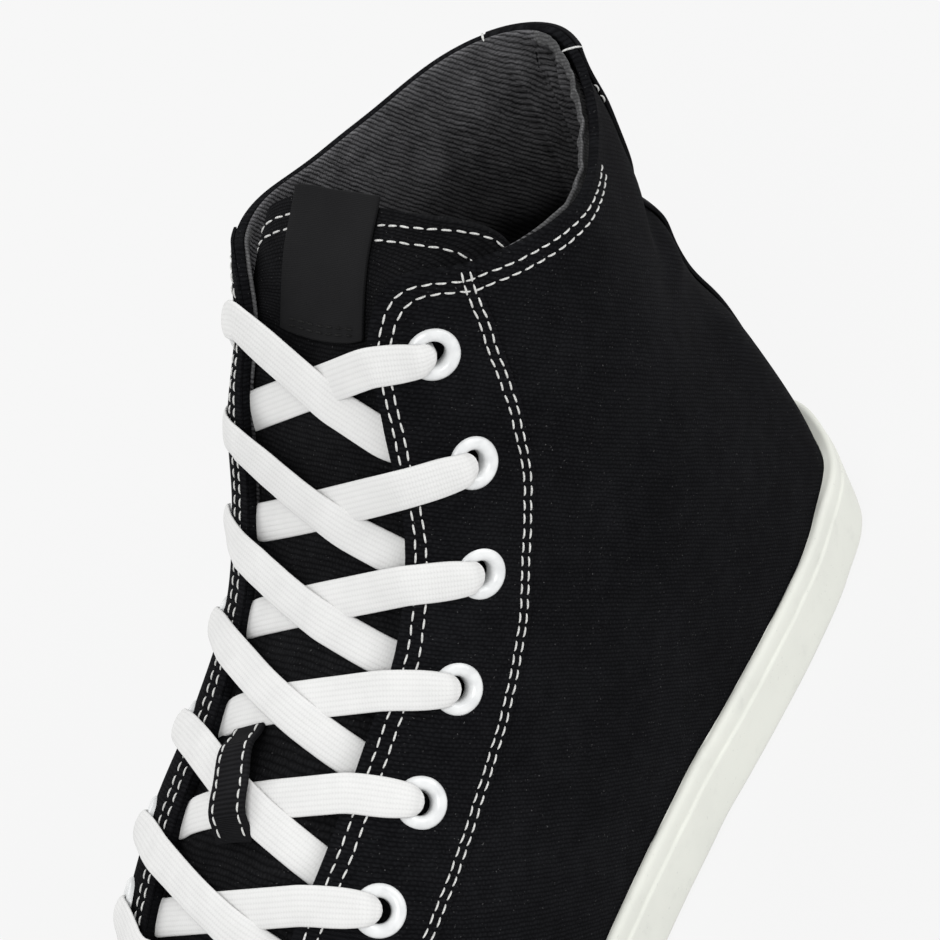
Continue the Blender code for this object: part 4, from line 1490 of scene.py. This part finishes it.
    def puff(self, t: Array) -> Array:
        """How loosely the rolled edge bulges, from 0 to about 1.3, at knots round the shoe."""
        back = float(LAST.station(len(SECTIONS) - 1))
        loose = soft_step(back - t, -8, 8) * (1 - soft_step(back - t, 80, 122))
        uneven = 1 + 0.2 * np.sin(t * 0.31) + 0.16 * np.sin(t * 0.67 + 1.1) + 0.08 * np.sin(t * 1.3)
        return loose * uneven

    def wall_length(self, start: float) -> tuple[Array, Array]:
        """The wall's height along its surface at knots round the shoe."""
        t = np.linspace(start, LAST.period - start, 120)
        wall = LAST.point(t[:, None], np.linspace(0, 1, 80)[None, :])
        return t, np.linalg.norm(np.diff(wall, axis=1), axis=-1).sum(axis=1)


@dataclass
class Eyelets:
    """The white enamelled rings, and the cutter for their holes."""

    finishes: Finishes
    outer: float = 5.25
    punch: float = 3.3
    facets: int = 48

    def make_cutter(self) -> bpy.types.Object:
        """One object that holds a round punch for each eyelet."""
        points, faces = [], []
        deselect()
        bpy.ops.mesh.primitive_cylinder_add(vertices=32, radius=self.punch, depth=14)
        shape, sides = taken_over(bpy.context.object)
        for index in range(len(EYELETS)):
            for side in Side:
                ends = eyelet_frame(index, side)
                first = len(points)
                turned = shape @ np.array([ends.down, ends.across, ends.out])
                points += list(ends.centre + turned)
                faces += [tuple(first + i for i in face) for face in sides]
        return object_of("punches", np.array(points), faces)

    def model(self) -> tuple[Array, list]:
        """The ring turned from its profile, standing on z = 0 about the origin."""
        deselect()
        count = self.facets
        bpy.ops.mesh.primitive_circle_add(vertices=count, radius=self.outer)
        ring = bpy.context.object
        bpy.ops.object.mode_set(mode="EDIT")
        bpy.ops.mesh.select_all(action="SELECT")
        # Each step of the profile: its radius and its height above the cloth.
        profile = [
            (5.25, 0.25), (5.2, 0.62), (4.95, 0.95), (4.55, 1.2), (4.05, 1.33), (3.55, 1.3),
            (3.1, 1.12), (2.75, 0.78), (2.52, 0.3), (2.45, -0.4), (2.45, -2.0), (2.6, -2.6),
            (3.1, -2.95), (3.8, -2.9), (4.2, -2.6), (3.6, -2.45), (3.1, -2.2), (3.05, 0.2),
        ]
        radius, height = self.outer, 0.0
        for r, z in profile[1:]:
            bpy.ops.mesh.extrude_region_move(TRANSFORM_OT_translate={"value": (0, 0, z - height)})
            scale = r / radius
            bpy.ops.transform.resize(value=(scale, scale, 1), center_override=(0, 0, z))
            radius, height = r, z
        bpy.ops.mesh.select_all(action="DESELECT")
        bpy.ops.object.mode_set(mode="OBJECT")
        shape, faces = taken_over(ring)
        last = len(shape) - count
        faces += [(i, (i + 1) % count, last + (i + 1) % count, last + i) for i in range(count)]
        return shape, faces

    def build(self) -> None:
        """Every eyelet, each in place of its node."""
        shape, faces = self.model()
        for index in range(len(EYELETS)):
            for side in Side:
                ends = eyelet_frame(index, side)
                name = f"ring_{side.name.lower()}_{index + 1}"
                turned = ends.centre + shape @ np.array([ends.down, ends.across, ends.out])
                ring = object_of(name, turned, faces)
                merge_doubles(ring)
                dress(ring, self.finishes.enamel)
                smooth(ring, 60)
                place_piece(ring, [f"eyelet_{side.name.lower()}_{index + 1}"])


class TongueSurface:
    """The tongue's outer surface, read by distance along it and breadth."""

    def __init__(self) -> None:
        """Works the surface out from the two tables."""
        rows = []
        for r in TONGUE:
            medial, lateral = self.side(r, Side.MEDIAL), self.side(r, Side.LATERAL)
            shoulder = np.array([r.shoulder_a, r.shoulder_b, r.shoulder_z])
            middle = np.array([r.mid_a, 0, r.mid_z])
            row = [*medial[::-1], shoulder * [1, -1, 1], middle, shoulder, *lateral]
            rows.append(through(row, 10))
        rows.append(through(TONGUE_TOP, 10))
        self.grid = through(rows, 10)
        self.line = self.grid[:, self.grid.shape[1] // 2]
        self.run = runs_along(self.line)

    @staticmethod
    def side(r: TongueRow, side: Side) -> tuple[Array, Array]:
        """The row's two points against the inside of the upper."""
        t = float(LAST.station(r.row, side))
        depth = -(WALL + r.clear)
        near = LAST.off(t, float(LAST.levels_below_top(t, r.near_edge)), depth)
        far = LAST.off(t, float(LAST.levels_below_top(t, r.far_edge)), depth)
        return near + [0, 0, r.lift], far

    def nearest(self, point: Array) -> float:
        """How far along the mid line it comes nearest to a point."""
        fine = np.linspace(0, self.run[-1], 800)
        gaps = [np.linalg.norm(self.middle(run)[0] - point) for run in fine]
        return float(fine[int(np.argmin(gaps))])

    def middle(self, run: float) -> tuple[Array, Array]:
        """The mid line's point at a distance along it, and the outward direction."""
        point = np.array([np.interp(run, self.run, self.line[:, k]) for k in range(3)])
        i = int(np.clip(np.searchsorted(self.run, run), 6, len(self.run) - 6))
        along = unit(self.line[i + 5] - self.line[i - 5])
        return point, np.array([along[2], 0, -along[0]])

    def across(self, run: float) -> Array:
        """The row of points across the tongue at a distance along its mid line."""
        i = np.interp(run, self.run, np.arange(len(self.run)))
        low = int(min(max(math.floor(i), 0), len(self.grid) - 2))
        return self.grid[low] + (self.grid[low + 1] - self.grid[low]) * (i - low)

    def at(self, run: float, b: float, lift: float) -> Array:
        """A point at a breadth, lifted off the surface."""
        row, out = self.across(run), self.middle(run)[1]
        spot = np.array([np.interp(b, row[:, 1], row[:, k]) for k in range(3)])
        past = max(run - self.run[-1], 0)
        return spot + out * lift + np.array([-out[2], 0, out[0]]) * past

    def spot(self, point: Array) -> tuple[float, float]:
        """The distance along the tongue and the breadth that lie nearest to a point."""
        gaps = np.linalg.norm(self.grid - point, axis=-1)
        i, j = np.unravel_index(int(np.argmin(gaps)), gaps.shape)
        return float(self.run[i]), float(self.grid[i, j, 1])

    def crossing(self, index: int) -> float:
        """How far along the tongue a pair's strands cross."""
        eyelet = EYELETS[index]
        t = float(LAST.station((eyelet.lace_out + eyelet.lace_in) / 2))
        return self.nearest(LAST.point(t, 1.0) * [1, 0, 1])


@dataclass
class Tongue:
    """The tongue with its hem, its bare woven label and its lace keeper."""

    finishes: Finishes
    surface: TongueSurface = field(default_factory=TongueSurface)
    thickness: float = 2.0
    breadth: float = 92
    label_width: float = 21.0
    keeper_width: float = 8.6
    keeper_tilt: float = 19
    hem_rows: tuple[float, float] = (3.4, 6.2)

    def make_tongue(self) -> bpy.types.Object:
        """The tongue itself, as thick as its folded cloth."""
        grid = self.surface.grid
        rows, columns = grid.shape[0] - 1, grid.shape[1] - 1

        def place(u: Array, w: Array) -> Array:
            """The tongue's own grid of points."""
            i = np.round(w * rows).astype(int)
            j = np.round(u * columns).astype(int)
            return grid[i, j]

        def plan(u: Array, w: Array, points: Array) -> Array:
            """Ribs that run straight across the tongue."""
            return np.stack([(u - 0.5) * self.breadth, w * self.surface.run[-1]], -1)

        tongue = sheet("tongue_cloth", columns, rows, place, plan)
        thicken(tongue, self.thickness)
        round_edges(tongue, 0.75, segments=3, angle=50)
        dress(tongue, self.finishes.tongue)
        smooth(tongue, 60)
        return place_piece(tongue, ["tongue"])

    def strip(
        self,
        name: str,
        runs: Array,
        lifts: Array,
        width: float,
        thickness: float,
        rib: float,
        spot: Callable[[float, float, float], Array] | None = None,
    ) -> bpy.types.Object:
        """A strip along the tongue's middle.

        Args:
            name: The piece's name.
            runs: Distances along the tongue.
            lifts: How far its underside stands off the surface at each.
            width: Its breadth.
            thickness: Its thickness.
            rib: A factor on the flat cloth's length.
            spot: Gives the point for a distance, a breadth and a lift. Without it, the
                tongue's surface does.

        Returns:
            The closed strip, without a material.
        """
        spot = self.surface.at if spot is None else spot
        smooth_line = through(np.c_[runs, np.asarray(lifts) * 1.0], 8)

        def place(u: Array, w: Array) -> Array:
            """The strip's rows, one after another."""
            points = []
            run = np.interp(w, np.linspace(0, 1, len(smooth_line)), smooth_line[:, 0])
            lift = np.interp(w, np.linspace(0, 1, len(smooth_line)), smooth_line[:, 1])
            for r, h, b in zip(run, lift, (u - 0.5) * width):
                points.append(spot(r, b, h + thickness))
            return np.array(points)

        length = float(runs[-1] - runs[0])
        piece = sheet(
            name, 14, 64, place, lambda u, w, p: np.stack([u * width, w * length * rib], -1)
        )
        thicken(piece, thickness)
        round_edges(piece, 0.22, angle=50)
        return piece

    def make_label(self) -> bpy.types.Object:
        """The plain woven label at the tongue's top."""
        top = self.surface.run[-1]
        low = self.surface.nearest(np.array([98.5, 0, 144.5]))
        runs = np.linspace(low, top + 2.0, 6)
        label = self.strip("label", runs, np.full(6, 0.45), self.label_width, 0.9, 1.0)
        dress(label, self.finishes.satin)
        smooth(label, 50)
        thread = Stitching("label_stitches", length=1.6, gap=0.8, width=0.4, height=0.3)
        for up in (1.6, 2.9):
            line = [self.surface.at(low + up, b, 1.4) for b in np.linspace(-8.4, 8.4, 24)]
            thread.row(np.array(line), np.tile(self.surface.middle(low + up)[1], (24, 1)))
        place_piece(thread.make(self.finishes.black_thread))
        return place_piece(label, ["tongue_label"])

    def make_keeper(self) -> bpy.types.Object:
        """The loop that the fifth crossing passes under."""
        centre = self.surface.crossing(KEEPER_PAIR)
        shape = [(-12, 0.4), (-10, 1.5), (-7.6, 3.5), (0, 3.95), (7.6, 3.5), (10, 1.5), (12, 0.4)]
        offsets, lifts = np.array(shape).T
        tilt = math.radians(self.keeper_tilt)

        def spot(run: float, b: float, lift: float) -> Array:
            """The tongue's surface, turned and moved as the keeper lies."""
            ahead = run - centre
            along = centre + 3.0 + ahead * math.cos(tilt) + b * math.sin(tilt)
            breadth = b * math.cos(tilt) - ahead * math.sin(tilt) - 3.2
            return self.surface.at(along, breadth, lift)

        keeper = self.strip("keeper", centre + offsets, lifts, self.keeper_width, 1.0, 1.0, spot)
        dress(keeper, self.finishes.webbing)
        smooth(keeper, 50)
        thread = Stitching("keeper_stitches", length=1.9, gap=0.7)
        line = through(np.c_[centre + offsets, lifts + 1.0], 8)
        for b in (-3.0, 3.0):
            points = np.array([spot(r, b, h) for r, h in line])
            outs = np.array([self.surface.middle(r)[1] for r, _ in line])
            thread.row(points, outs, 1.0)
        for run, h in ((centre - 11.2, 1.45), (centre - 9.6, 2.3)):
            points = np.array([spot(run, b, h) for b in np.linspace(-2.8, 2.8, 9)])
            thread.row(points, np.tile(self.surface.middle(run)[1], (9, 1)))
        place_piece(thread.make(self.finishes.white_thread))
        return place_piece(keeper, ["lace_keeper"])

    def make_stitches(self) -> bpy.types.Object:
        """The two white rows under the tongue's top edge."""
        thread = Stitching("tongue_stitches")
        top = self.surface.run[-1]
        for below in self.hem_rows:
            for low, high in ((-34, -10.3), (10.3, 31)):
                breadths = np.linspace(low, high, 60)
                rise = np.maximum(breadths - 10.3, 0) * 0.13
                spots = [self.surface.at(top - below + r, b, 0.0) for b, r in zip(breadths, rise)]
                row = np.array(spots)
                moved = np.linalg.norm(np.diff(row, axis=0), axis=1) > 0.02
                row = row[np.append(moved, True)]
                thread.row(row, np.tile(self.surface.middle(top - below)[1], (len(row), 1)))
        return place_piece(thread.make(self.finishes.white_thread))

    def build(self) -> None:
        """The tongue and all that is sewn to it."""
        self.make_tongue()
        self.make_label()
        self.make_keeper()
        self.make_stitches()


def taut(run: Array, least: Array) -> Array:
    """The height of a string pulled over obstacles.

    Args:
        run: Distances along it.
        least: The height of the obstacle at each. The first and last are its ends.

    Returns:
        The string's height at each distance.
    """
    kept = [0]
    for i in range(1, len(run)):
        while len(kept) > 1:
            a, b = kept[-2], kept[-1]
            rise_b = (least[b] - least[a]) * (run[i] - run[a])
            rise_i = (least[i] - least[a]) * (run[b] - run[a])
            if rise_b > rise_i:
                break
            kept.pop()
        kept.append(i)
    return np.interp(run, run[kept], least[kept])


@dataclass
class Bed:
    """A surface that a lace can lie on, as points with their outward directions."""

    points: Array
    outs: Array

    def under(self, spots: Array, up: Array) -> tuple[Array, Array, Array]:
        """Where lines through spots along one direction meet the surface.

        Args:
            spots: The places.
            up: The direction.

        Returns:
            For each place the surface's height above it, the outward direction there, and
            whether the line meets the surface at all.
        """
        height, out, met = [], [], []
        for spot in spots:
            gap = self.points - spot
            miss = np.linalg.norm(gap - (gap @ up)[:, None] * up, axis=-1)
            k = int(np.argmin(miss))
            lean = max(float(self.outs[k] @ up), 0.3)
            height.append(float(gap[k] @ self.outs[k]) / lean)
            out.append(self.outs[k])
            met.append(miss[k] < 0.6)
        return np.array(height), np.array(out), np.array(met)


@dataclass
class Laces:
    """The flat lace, strand by strand from eyelet to eyelet."""

    finishes: Finishes
    tongue: TongueSurface
    width: float = 7.9
    thickness: float = 1.15
    segments: int = 20
    tongue_gap: float = 0.85

    def __post_init__(self) -> None:
        """Lays out the surfaces that the laces run over."""
        self.beds = {}
        for side in Side:
            t = LAST.station(np.linspace(5.6, 15, 300), side)[:, None]
            v = np.linspace(0.55, 1, 70)[None, :]
            t, v = np.broadcast_arrays(t, v)
            self.beds[side] = Bed(LAST.point(t, v).reshape(-1, 3), LAST.normal(t, v).reshape(-1, 3))
        grid = self.tongue.grid
        outs = unit(np.cross(np.gradient(grid, axis=1), np.gradient(grid, axis=0)))
        outs *= np.sign(outs[:, outs.shape[1] // 2, 2])[:, None, None]
        self.tongue_bed = Bed(grid.reshape(-1, 3), outs.reshape(-1, 3))
        self.lower: dict[int, Array] = {}

    def under_edge(self, index: int, far: Side) -> tuple[Array, Array]:
        """Where a strand goes in under the opposite facing, and the outward direction."""
        t = float(LAST.station(EYELETS[index].lace_in, far))
        out = LAST.normal(t, 1.0)
        return LAST.off(t, float(LAST.levels_below_top(t, 1.4)), -WALL - 0.9), out

    def strand(self, index: int, side: Side) -> tuple[Array, Array, Array]:
        """The route of one strand, pulled straight from its eyelet to the other facing.

        Args:
            index: Which pair of eyelets it leaves.
            side: Which side it leaves from.

        Returns:
            Its points, the direction away from its face, and its breadth at each.
        """
        far = Side.LATERAL if side is Side.MEDIAL else Side.MEDIAL
        centre, out = eyelet_frame(index, side)[:2]
        last = index == len(EYELETS) - 1
        if last:
            middle = self.tongue.crossing(index)
            target = self.tongue.at(middle, 0.0, 1.5)
            target_out = self.tongue.middle(middle)[1]
        else:
            target, target_out = self.under_edge(index, far)
        eyelet = EYELETS[index]
        row_out = eyelet.medial_out if side is Side.MEDIAL else eyelet.lace_out
        t_edge = float(LAST.station(row_out, side))
        way = unit(LAST.point(t_edge, 1.0) - centre)
        way = unit(way - out * (way @ out))
        hole = centre + way * 0.9
        start = hole + out * 2.0 + way * 2.6
        points = [hole - out * 2.4, hole - out * 0.2, hole + out * 1.25 + way * 0.5]
        outs = [-way, -way, unit(out - way * 0.8)]
        breadths = [4.4, 4.7, 5.8]
        bow = 2.6 if side is Side.MEDIAL else 1.35
        edge, edge_out = LAST.off(t_edge, 1.0, bow), LAST.normal(t_edge, 1.0)
        near = self.pulled(start, edge, unit(out + edge_out), [(self.beds[side], 1.25)])
        crossing = self.tongue.middle(self.tongue.crossing(index))[1]
        up = unit(crossing + edge_out * 0.3)
        beds = [(self.tongue_bed, self.tongue_gap), (self.beds[side], 1.25)]
        lower = self.lower.get(index) if side is Side.MEDIAL else None
        rest = self.pulled(edge, target, up, beds, lower)
        line = np.concatenate([near[0][:-1], rest[0]])
        face = np.concatenate([near[1][:-1], rest[1]])
        for _ in range(3):
            line[1:-1] = (line[:-2] + line[1:-1] * 2 + line[2:]) / 4
        run = runs_along(line)
        share = run / run[-1]
        blend = soft_step(share, 0.62, 0.98)[:, None]
        kernel = np.ones(11) / 11
        padded = np.pad(face, ((5, 5), (0, 0)), "edge")
        face = np.stack([np.convolve(padded[:, k], kernel, "valid") for k in range(3)], -1)
        face = unit(unit(face) * (1 - blend) + target_out * blend)
        if side is Side.LATERAL:
            self.lower[index] = line
        kept = np.arange(0, len(line), 3)
        points += list(line[kept])
        outs += list(face[kept])
        breadths += list(np.interp(run[kept], [0, 2, 5], [6.9, 7.5, self.width]))
        if not last:
            self.add_hidden(points, outs, index, far)
            breadths += [self.width, 6.4, 4.4]
        return np.array(points), unit(np.array(outs)), np.array(breadths)

    def pulled(
        self, start: Array, end: Array, up: Array, beds: list, lower: Array | None = None
    ) -> tuple[Array, Array]:
        """A straight length of lace, raised off what lies under it.

        Args:
            start: Its first point.
            end: Its last point.
            up: The direction in which it is raised.
            beds: The surfaces under it, each with the least gap.
            lower: The strand under it, if there is one.

        Returns:
            Its points, and the direction away from its face at each.
        """
        chord = end - start
        length = float(np.linalg.norm(chord))
        up = unit(up - chord / length * (up @ chord / length))
        count = max(6, int(length / 1.0))
        share = np.linspace(0, 1, count + 1)
        spots = start + share[:, None] * chord
        least = np.full(count + 1, -60.0)
        face = np.tile(up, (count + 1, 1))
        for bed, gap in beds:
            height, out, met = bed.under(spots, up)
            height = np.where(met, height + gap, -60.0)
            face = np.where((height > least)[:, None], out, face)
            least = np.maximum(least, height)
        if lower is not None:
            least = np.maximum(least, self.over(spots, up, lower))
        least[0], least[-1] = 0.0, 0.0
        height = taut(share * length, least)
        return spots + height[:, None] * up, face

    def over(self, spots: Array, up: Array, line: Array) -> Array:
        """The least heights at which a strand clears the one below it.

        Args:
            spots: The upper strand's places.
            up: The direction that its heights are measured along.
            line: The lower strand's points.

        Returns:
            One height for each place, or a very low one away from the lower strand.
        """
        fine = through(line[::3], 8)
        gap = fine[None] - spots[:, None]
        height = gap @ up
        miss = np.linalg.norm(gap - height[..., None] * up, axis=-1)
        nearest = np.argmin(miss, axis=1)
        pick = np.arange(len(spots))
        return np.where(miss[pick, nearest] < 4.2, height[pick, nearest] + self.thickness + 0.25, -60.0)

    def add_hidden(self, points: list, outs: list, index: int, far: Side) -> None:
        """Takes a strand on under the opposite facing, up to the next eyelet.

        Args:
            points: Its points so far, which grow.
            outs: The directions away from its face, which grow.
            index: Which pair of eyelets it left.
            far: The opposite side.
        """
        hidden = -WALL - 0.72
        under = points[-1]
        target = eyelet_frame(index + 1, far)
        way = unit(target.centre - under)
        way = unit(way - target.out * (way @ target.out))
        arrive = target.centre - way * 3.6 + target.out * (hidden - 0.4)
        turn = target.centre - way * 1.3 + target.out * (-2.5)
        row = (EYELETS[index].lace_in + EYELETS[index + 1].row) / 2
        t = float(LAST.station(row, far))
        v = float(LAST.levels_below_top(t, EYELETS[index + 1].from_edge / 2))
        points += [LAST.off(t, v, hidden), arrive, turn]
        outs += [LAST.normal(t, v), target.out, unit(target.out - way * 1.2)]

    def ribbon(self, name: str, strands: list, nodes: list[str]) -> bpy.types.Object:
        """Strands as one piece of closed flat tubes.

        Args:
            name: The piece's name.
            strands: The points, outward directions and breadths of each strand.
            nodes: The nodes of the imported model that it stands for.

        Returns:
            The finished piece.
        """
        points, faces, spots = [], [], []
        angles = np.arange(self.segments) * 2 * math.pi / self.segments
        for line, outs, breadths in strands:
            fine = through(np.c_[line, outs * 6, breadths], 9)
            line, outs, breadths = fine[:, :3], unit(fine[:, 3:6]), fine[:, 6]
            run = runs_along(line)
            along = unit(np.gradient(line, axis=0))
            across = unit(np.cross(along, outs))
            outs = np.cross(across, along)
            tight = np.clip((self.width - breadths) / 3.6, 0, 1)
            first = len(points)
            for p, o, c, width, curl, at in zip(line, outs, across, breadths, tight, run):
                x = np.sign(np.cos(angles)) * np.abs(np.cos(angles)) ** 0.75
                y = np.sign(np.sin(angles)) * np.abs(np.sin(angles)) ** 0.75
                thick = self.thickness * (1 + 0.15 * curl)
                hump = curl * 1.1 * (1 - x * x) + 0.12 * (1 - x * x)
                ring = p + np.outer(x * width / 2, c) + np.outer(y * thick / 2 + hump - 0.12, o)
                points += list(ring)
                side = np.where(y >= 0, x * self.width / 2, self.width - x * self.width / 2)
                spots += list(np.stack([np.full(self.segments, at), side + 20], -1))
            count = self.segments
            for k in range(len(line) - 1):
                for i in range(count):
                    j = (i + 1) % count
                    low, high = first + k * count, first + (k + 1) * count
                    faces.append((low + i, low + j, high + j, high + i))
            faces.append(tuple(first + i for i in range(count))[::-1])
            last = first + (len(line) - 1) * count
            faces.append(tuple(last + i for i in range(count)))
        piece = object_of(name, np.array(points), faces)
        lay_flat(piece, np.array(spots))
        choose(piece)
        turn_outward()
        dress(piece, self.finishes.lace)
        smooth(piece, 80)
        return place_piece(piece, nodes)

    def build(self) -> None:
        """Every crossing, and the bar below them."""
        for index in range(len(EYELETS) - 1):
            strands = [self.strand(index, side) for side in (Side.LATERAL, Side.MEDIAL)]
            self.ribbon(f"lace_{index + 1}", strands, [f"lace_crossing_{index + 1}"])
        lateral, medial = (self.strand(len(EYELETS) - 1, side) for side in Side)
        bar = [
            np.concatenate([ours, theirs[:-1][::-1]]) for ours, theirs in zip(lateral, medial)
        ]
        self.ribbon("lace_bottom_bar", [tuple(bar)], ["lace_bar"])


@dataclass
class Sole:
    """The rubber sidewall with its hand-laid band, the tread and the insole."""

    finishes: Finishes
    columns: int = 420

    def wobble(self, t: Array) -> Array:
        """The slight unevenness of the band's top edge, in millimetres."""
        turn = t / LAST.period * 2 * math.pi
        return (
            0.12 * np.sin(turn * 23 + 1)
            + 0.09 * np.sin(turn * 41 + 2.2)
            + 0.07 * np.sin(turn * 67 + 0.4)
        )

    def make_sidewall(self) -> bpy.types.Object:
        """The cup of the sole."""
        meets_at = np.linspace(0, LAST.period, 241)
        meets = np.array([LAST.level_at_height(t, rim) for t in meets_at])
        # Each step up the outside: the inset, and the height from the ground or the rim.
        foot = [
            (5.0, 4.3), (5.0, 0.5), (1.9, 0.5), (1.0, 0.62), (0.45, 1.05), (0.12, 2.1), (0, 4),
            (0, 7), (0, 10.5),
        ]
        head = [
            (0, -8.6), (0, -6.8), (-0.02, -5.9), (0.02, -5.5), (0.14, -5.2), (0.34, -5.0),
            (0.46, -4.7), (0.44, -4.2), (0.4, -3.4), (0.4, -2.2), (0.45, -1.3), (0.68, -0.65),
            (1.15, -0.22), (1.7, -0.06), (2.1, -0.15),
        ]
        inner = [1.0, 0.86, 0.6, 0.3, 0.0]
        count = len(foot) + len(head) + len(inner)

        def place(u: Array, w: Array) -> Array:
            """The cup's outline, step by step from below and over the rim."""
            t = u * LAST.period
            step = np.round(w * (count - 1)).astype(int)
            points = np.empty((len(u), 3))
            for k in range(count):
                here = step == k
                at = t[here]
                if k < len(foot):
                    plan = LAST.outline(at, np.full(len(at), foot[k][0]))
                    z = ground(plan[:, 0]) + foot[k][1]
                elif k < len(foot) + len(head):
                    inset, drop = head[k - len(foot)]
                    loose = self.wobble(at) * soft_step(drop, -5.2, -4.6)
                    plan = LAST.outline(at, inset - loose * 0.5)
                    z = rim(plan[:, 0]) + drop + loose
                else:
                    share = inner[k - len(foot) - len(head)]
                    level = np.interp(at, meets_at, meets) * share
                    wall = LAST.off(at, level, np.full(len(at), GAP * 0.5))
                    plan, z = wall[:, :2], wall[:, 2] - (0.35 if share == 1.0 else 0)
                    if share == 0:
                        z = plate_top(plan[:, 0])
                points[here] = np.c_[plan, z]
            return points

        def plan(u: Array, w: Array, points: Array) -> Array:
            """The rubber laid out along the outline."""
            return np.stack([u * LAST.period, points[:, 2]], -1)

        cup = sheet("sidewall", self.columns, count - 1, place, plan)
        merge_doubles(cup, 0.005)
        choose(cup)
        bpy.ops.object.mode_set(mode="EDIT")
        bpy.ops.mesh.select_mode(type="EDGE")
        bpy.ops.mesh.select_all(action="DESELECT")
        bpy.ops.mesh.select_non_manifold(extend=False, use_boundary=True)
        bpy.ops.mesh.edge_face_add()
        turn_outward()
        dress(cup, self.finishes.rubber)
        smooth(cup, 55)
        return place_piece(cup, ["midsole"])

    def build(self, nodes: dict[str, bpy.types.Object]) -> None:
        """The sidewall, and finishes for the tread and the insole."""
        self.make_sidewall()
        dress(nodes["outsole"], self.finishes.tread)
        dress(nodes["insole"], self.finishes.lining)


@dataclass
class Studio:
    """The pale floor, the soft light and the camera at the photograph's angle."""

    lens: float = 102.15
    shift: tuple[float, float] = (-0.0195, 0.0337)
    camera_at: tuple[float, float, float] = (-0.18435, -0.335495, 0.45280)
    right: tuple[float, float, float] = (0.50537525, -0.77991637, -0.36922393)
    up: tuple[float, float, float] = (0.7427247, 0.17533969, 0.64623217)
    back: tuple[float, float, float] = (-0.43926744, -0.60082148, 0.66787549)

    def make_camera(self) -> None:
        """The camera, from its own axes."""
        data = bpy.data.cameras.new("camera")
        data.lens = self.lens
        data.sensor_width = 36
        data.shift_x, data.shift_y = self.shift
        data.clip_start, data.clip_end = 0.02, 50
        camera = bpy.data.objects.new("camera", data)
        bpy.context.scene.collection.objects.link(camera)
        axes = Matrix([self.right, self.up, self.back]).transposed()
        camera.matrix_world = Matrix.Translation(self.camera_at) @ axes.to_4x4()
        bpy.context.scene.camera = camera

    def make_floor(self) -> None:
        """A wide plain floor that stays pale."""
        deselect()
        bpy.ops.mesh.primitive_plane_add(size=12, location=(0, 0, 0))
        floor = bpy.context.object
        floor.name = "floor"
        shade = Shade("pale_floor")
        material = shade.finish(
            Base_Color=(0.05, 0.05, 0.05),
            Roughness=1.0,
            Specular_IOR_Level=0.0,
            Emission_Color=(1.0, 1.0, 1.0),
            Emission_Strength=0.865,
        )
        dress(floor, material)

    def lamp(
        self, name: str, at: tuple[float, float, float], size: float, power: float
    ) -> None:
        """A square soft light that faces the shoe.

        Args:
            name: Its name.
            at: Its place in metres.
            size: Its side in metres.
            power: Its power in watts.
        """
        data = bpy.data.lights.new(name, "AREA")
        data.energy = power
        data.size = size
        light = bpy.data.objects.new(name, data)
        bpy.context.scene.collection.objects.link(light)
        back = unit(np.array(at) - np.array([0.0, 0.0, 0.08]))
        side = unit(np.cross([0.0, 0.0, 1.0], back))
        axes = Matrix([side, np.cross(back, side), back]).transposed()
        light.matrix_world = Matrix.Translation(at) @ axes.to_4x4()

    def build(self) -> None:
        """Everything round the shoe."""
        self.make_camera()
        self.make_floor()
        scene = bpy.context.scene
        scene.view_settings.view_transform = "Standard"
        world = bpy.data.worlds.new("soft_room")
        world.use_nodes = True
        sky = world.node_tree.nodes["Background"]
        sky.inputs["Color"].default_value = (0.95, 0.95, 0.95, 1)
        sky.inputs["Strength"].default_value = 0.75
        scene.world = world
        self.lamp("key", (-0.75, -0.55, 1.25), 0.9, 11)
        self.lamp("side", (0.75, -0.9, 0.75), 0.9, 6)
        self.lamp("rear", (0.3, 1.0, 0.9), 0.9, 5)


def main() -> None:
    """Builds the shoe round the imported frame."""
    logging.basicConfig(level=logging.INFO, format="%(message)s")
    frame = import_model()
    Studio().build()
    finishes = Finishes()
    eyelets = Eyelets(finishes)
    punches = eyelets.make_cutter()
    upper = Upper(finishes)
    upper.build(punches)
    Lining(finishes, upper).build(punches)
    bpy.data.objects.remove(punches)
    tongue = Tongue(finishes)
    tongue.build()
    eyelets.build()
    Laces(finishes, tongue.surface).build()
    Sole(finishes).build(frame["nodes"])


if __name__ == "__main__":
    main()
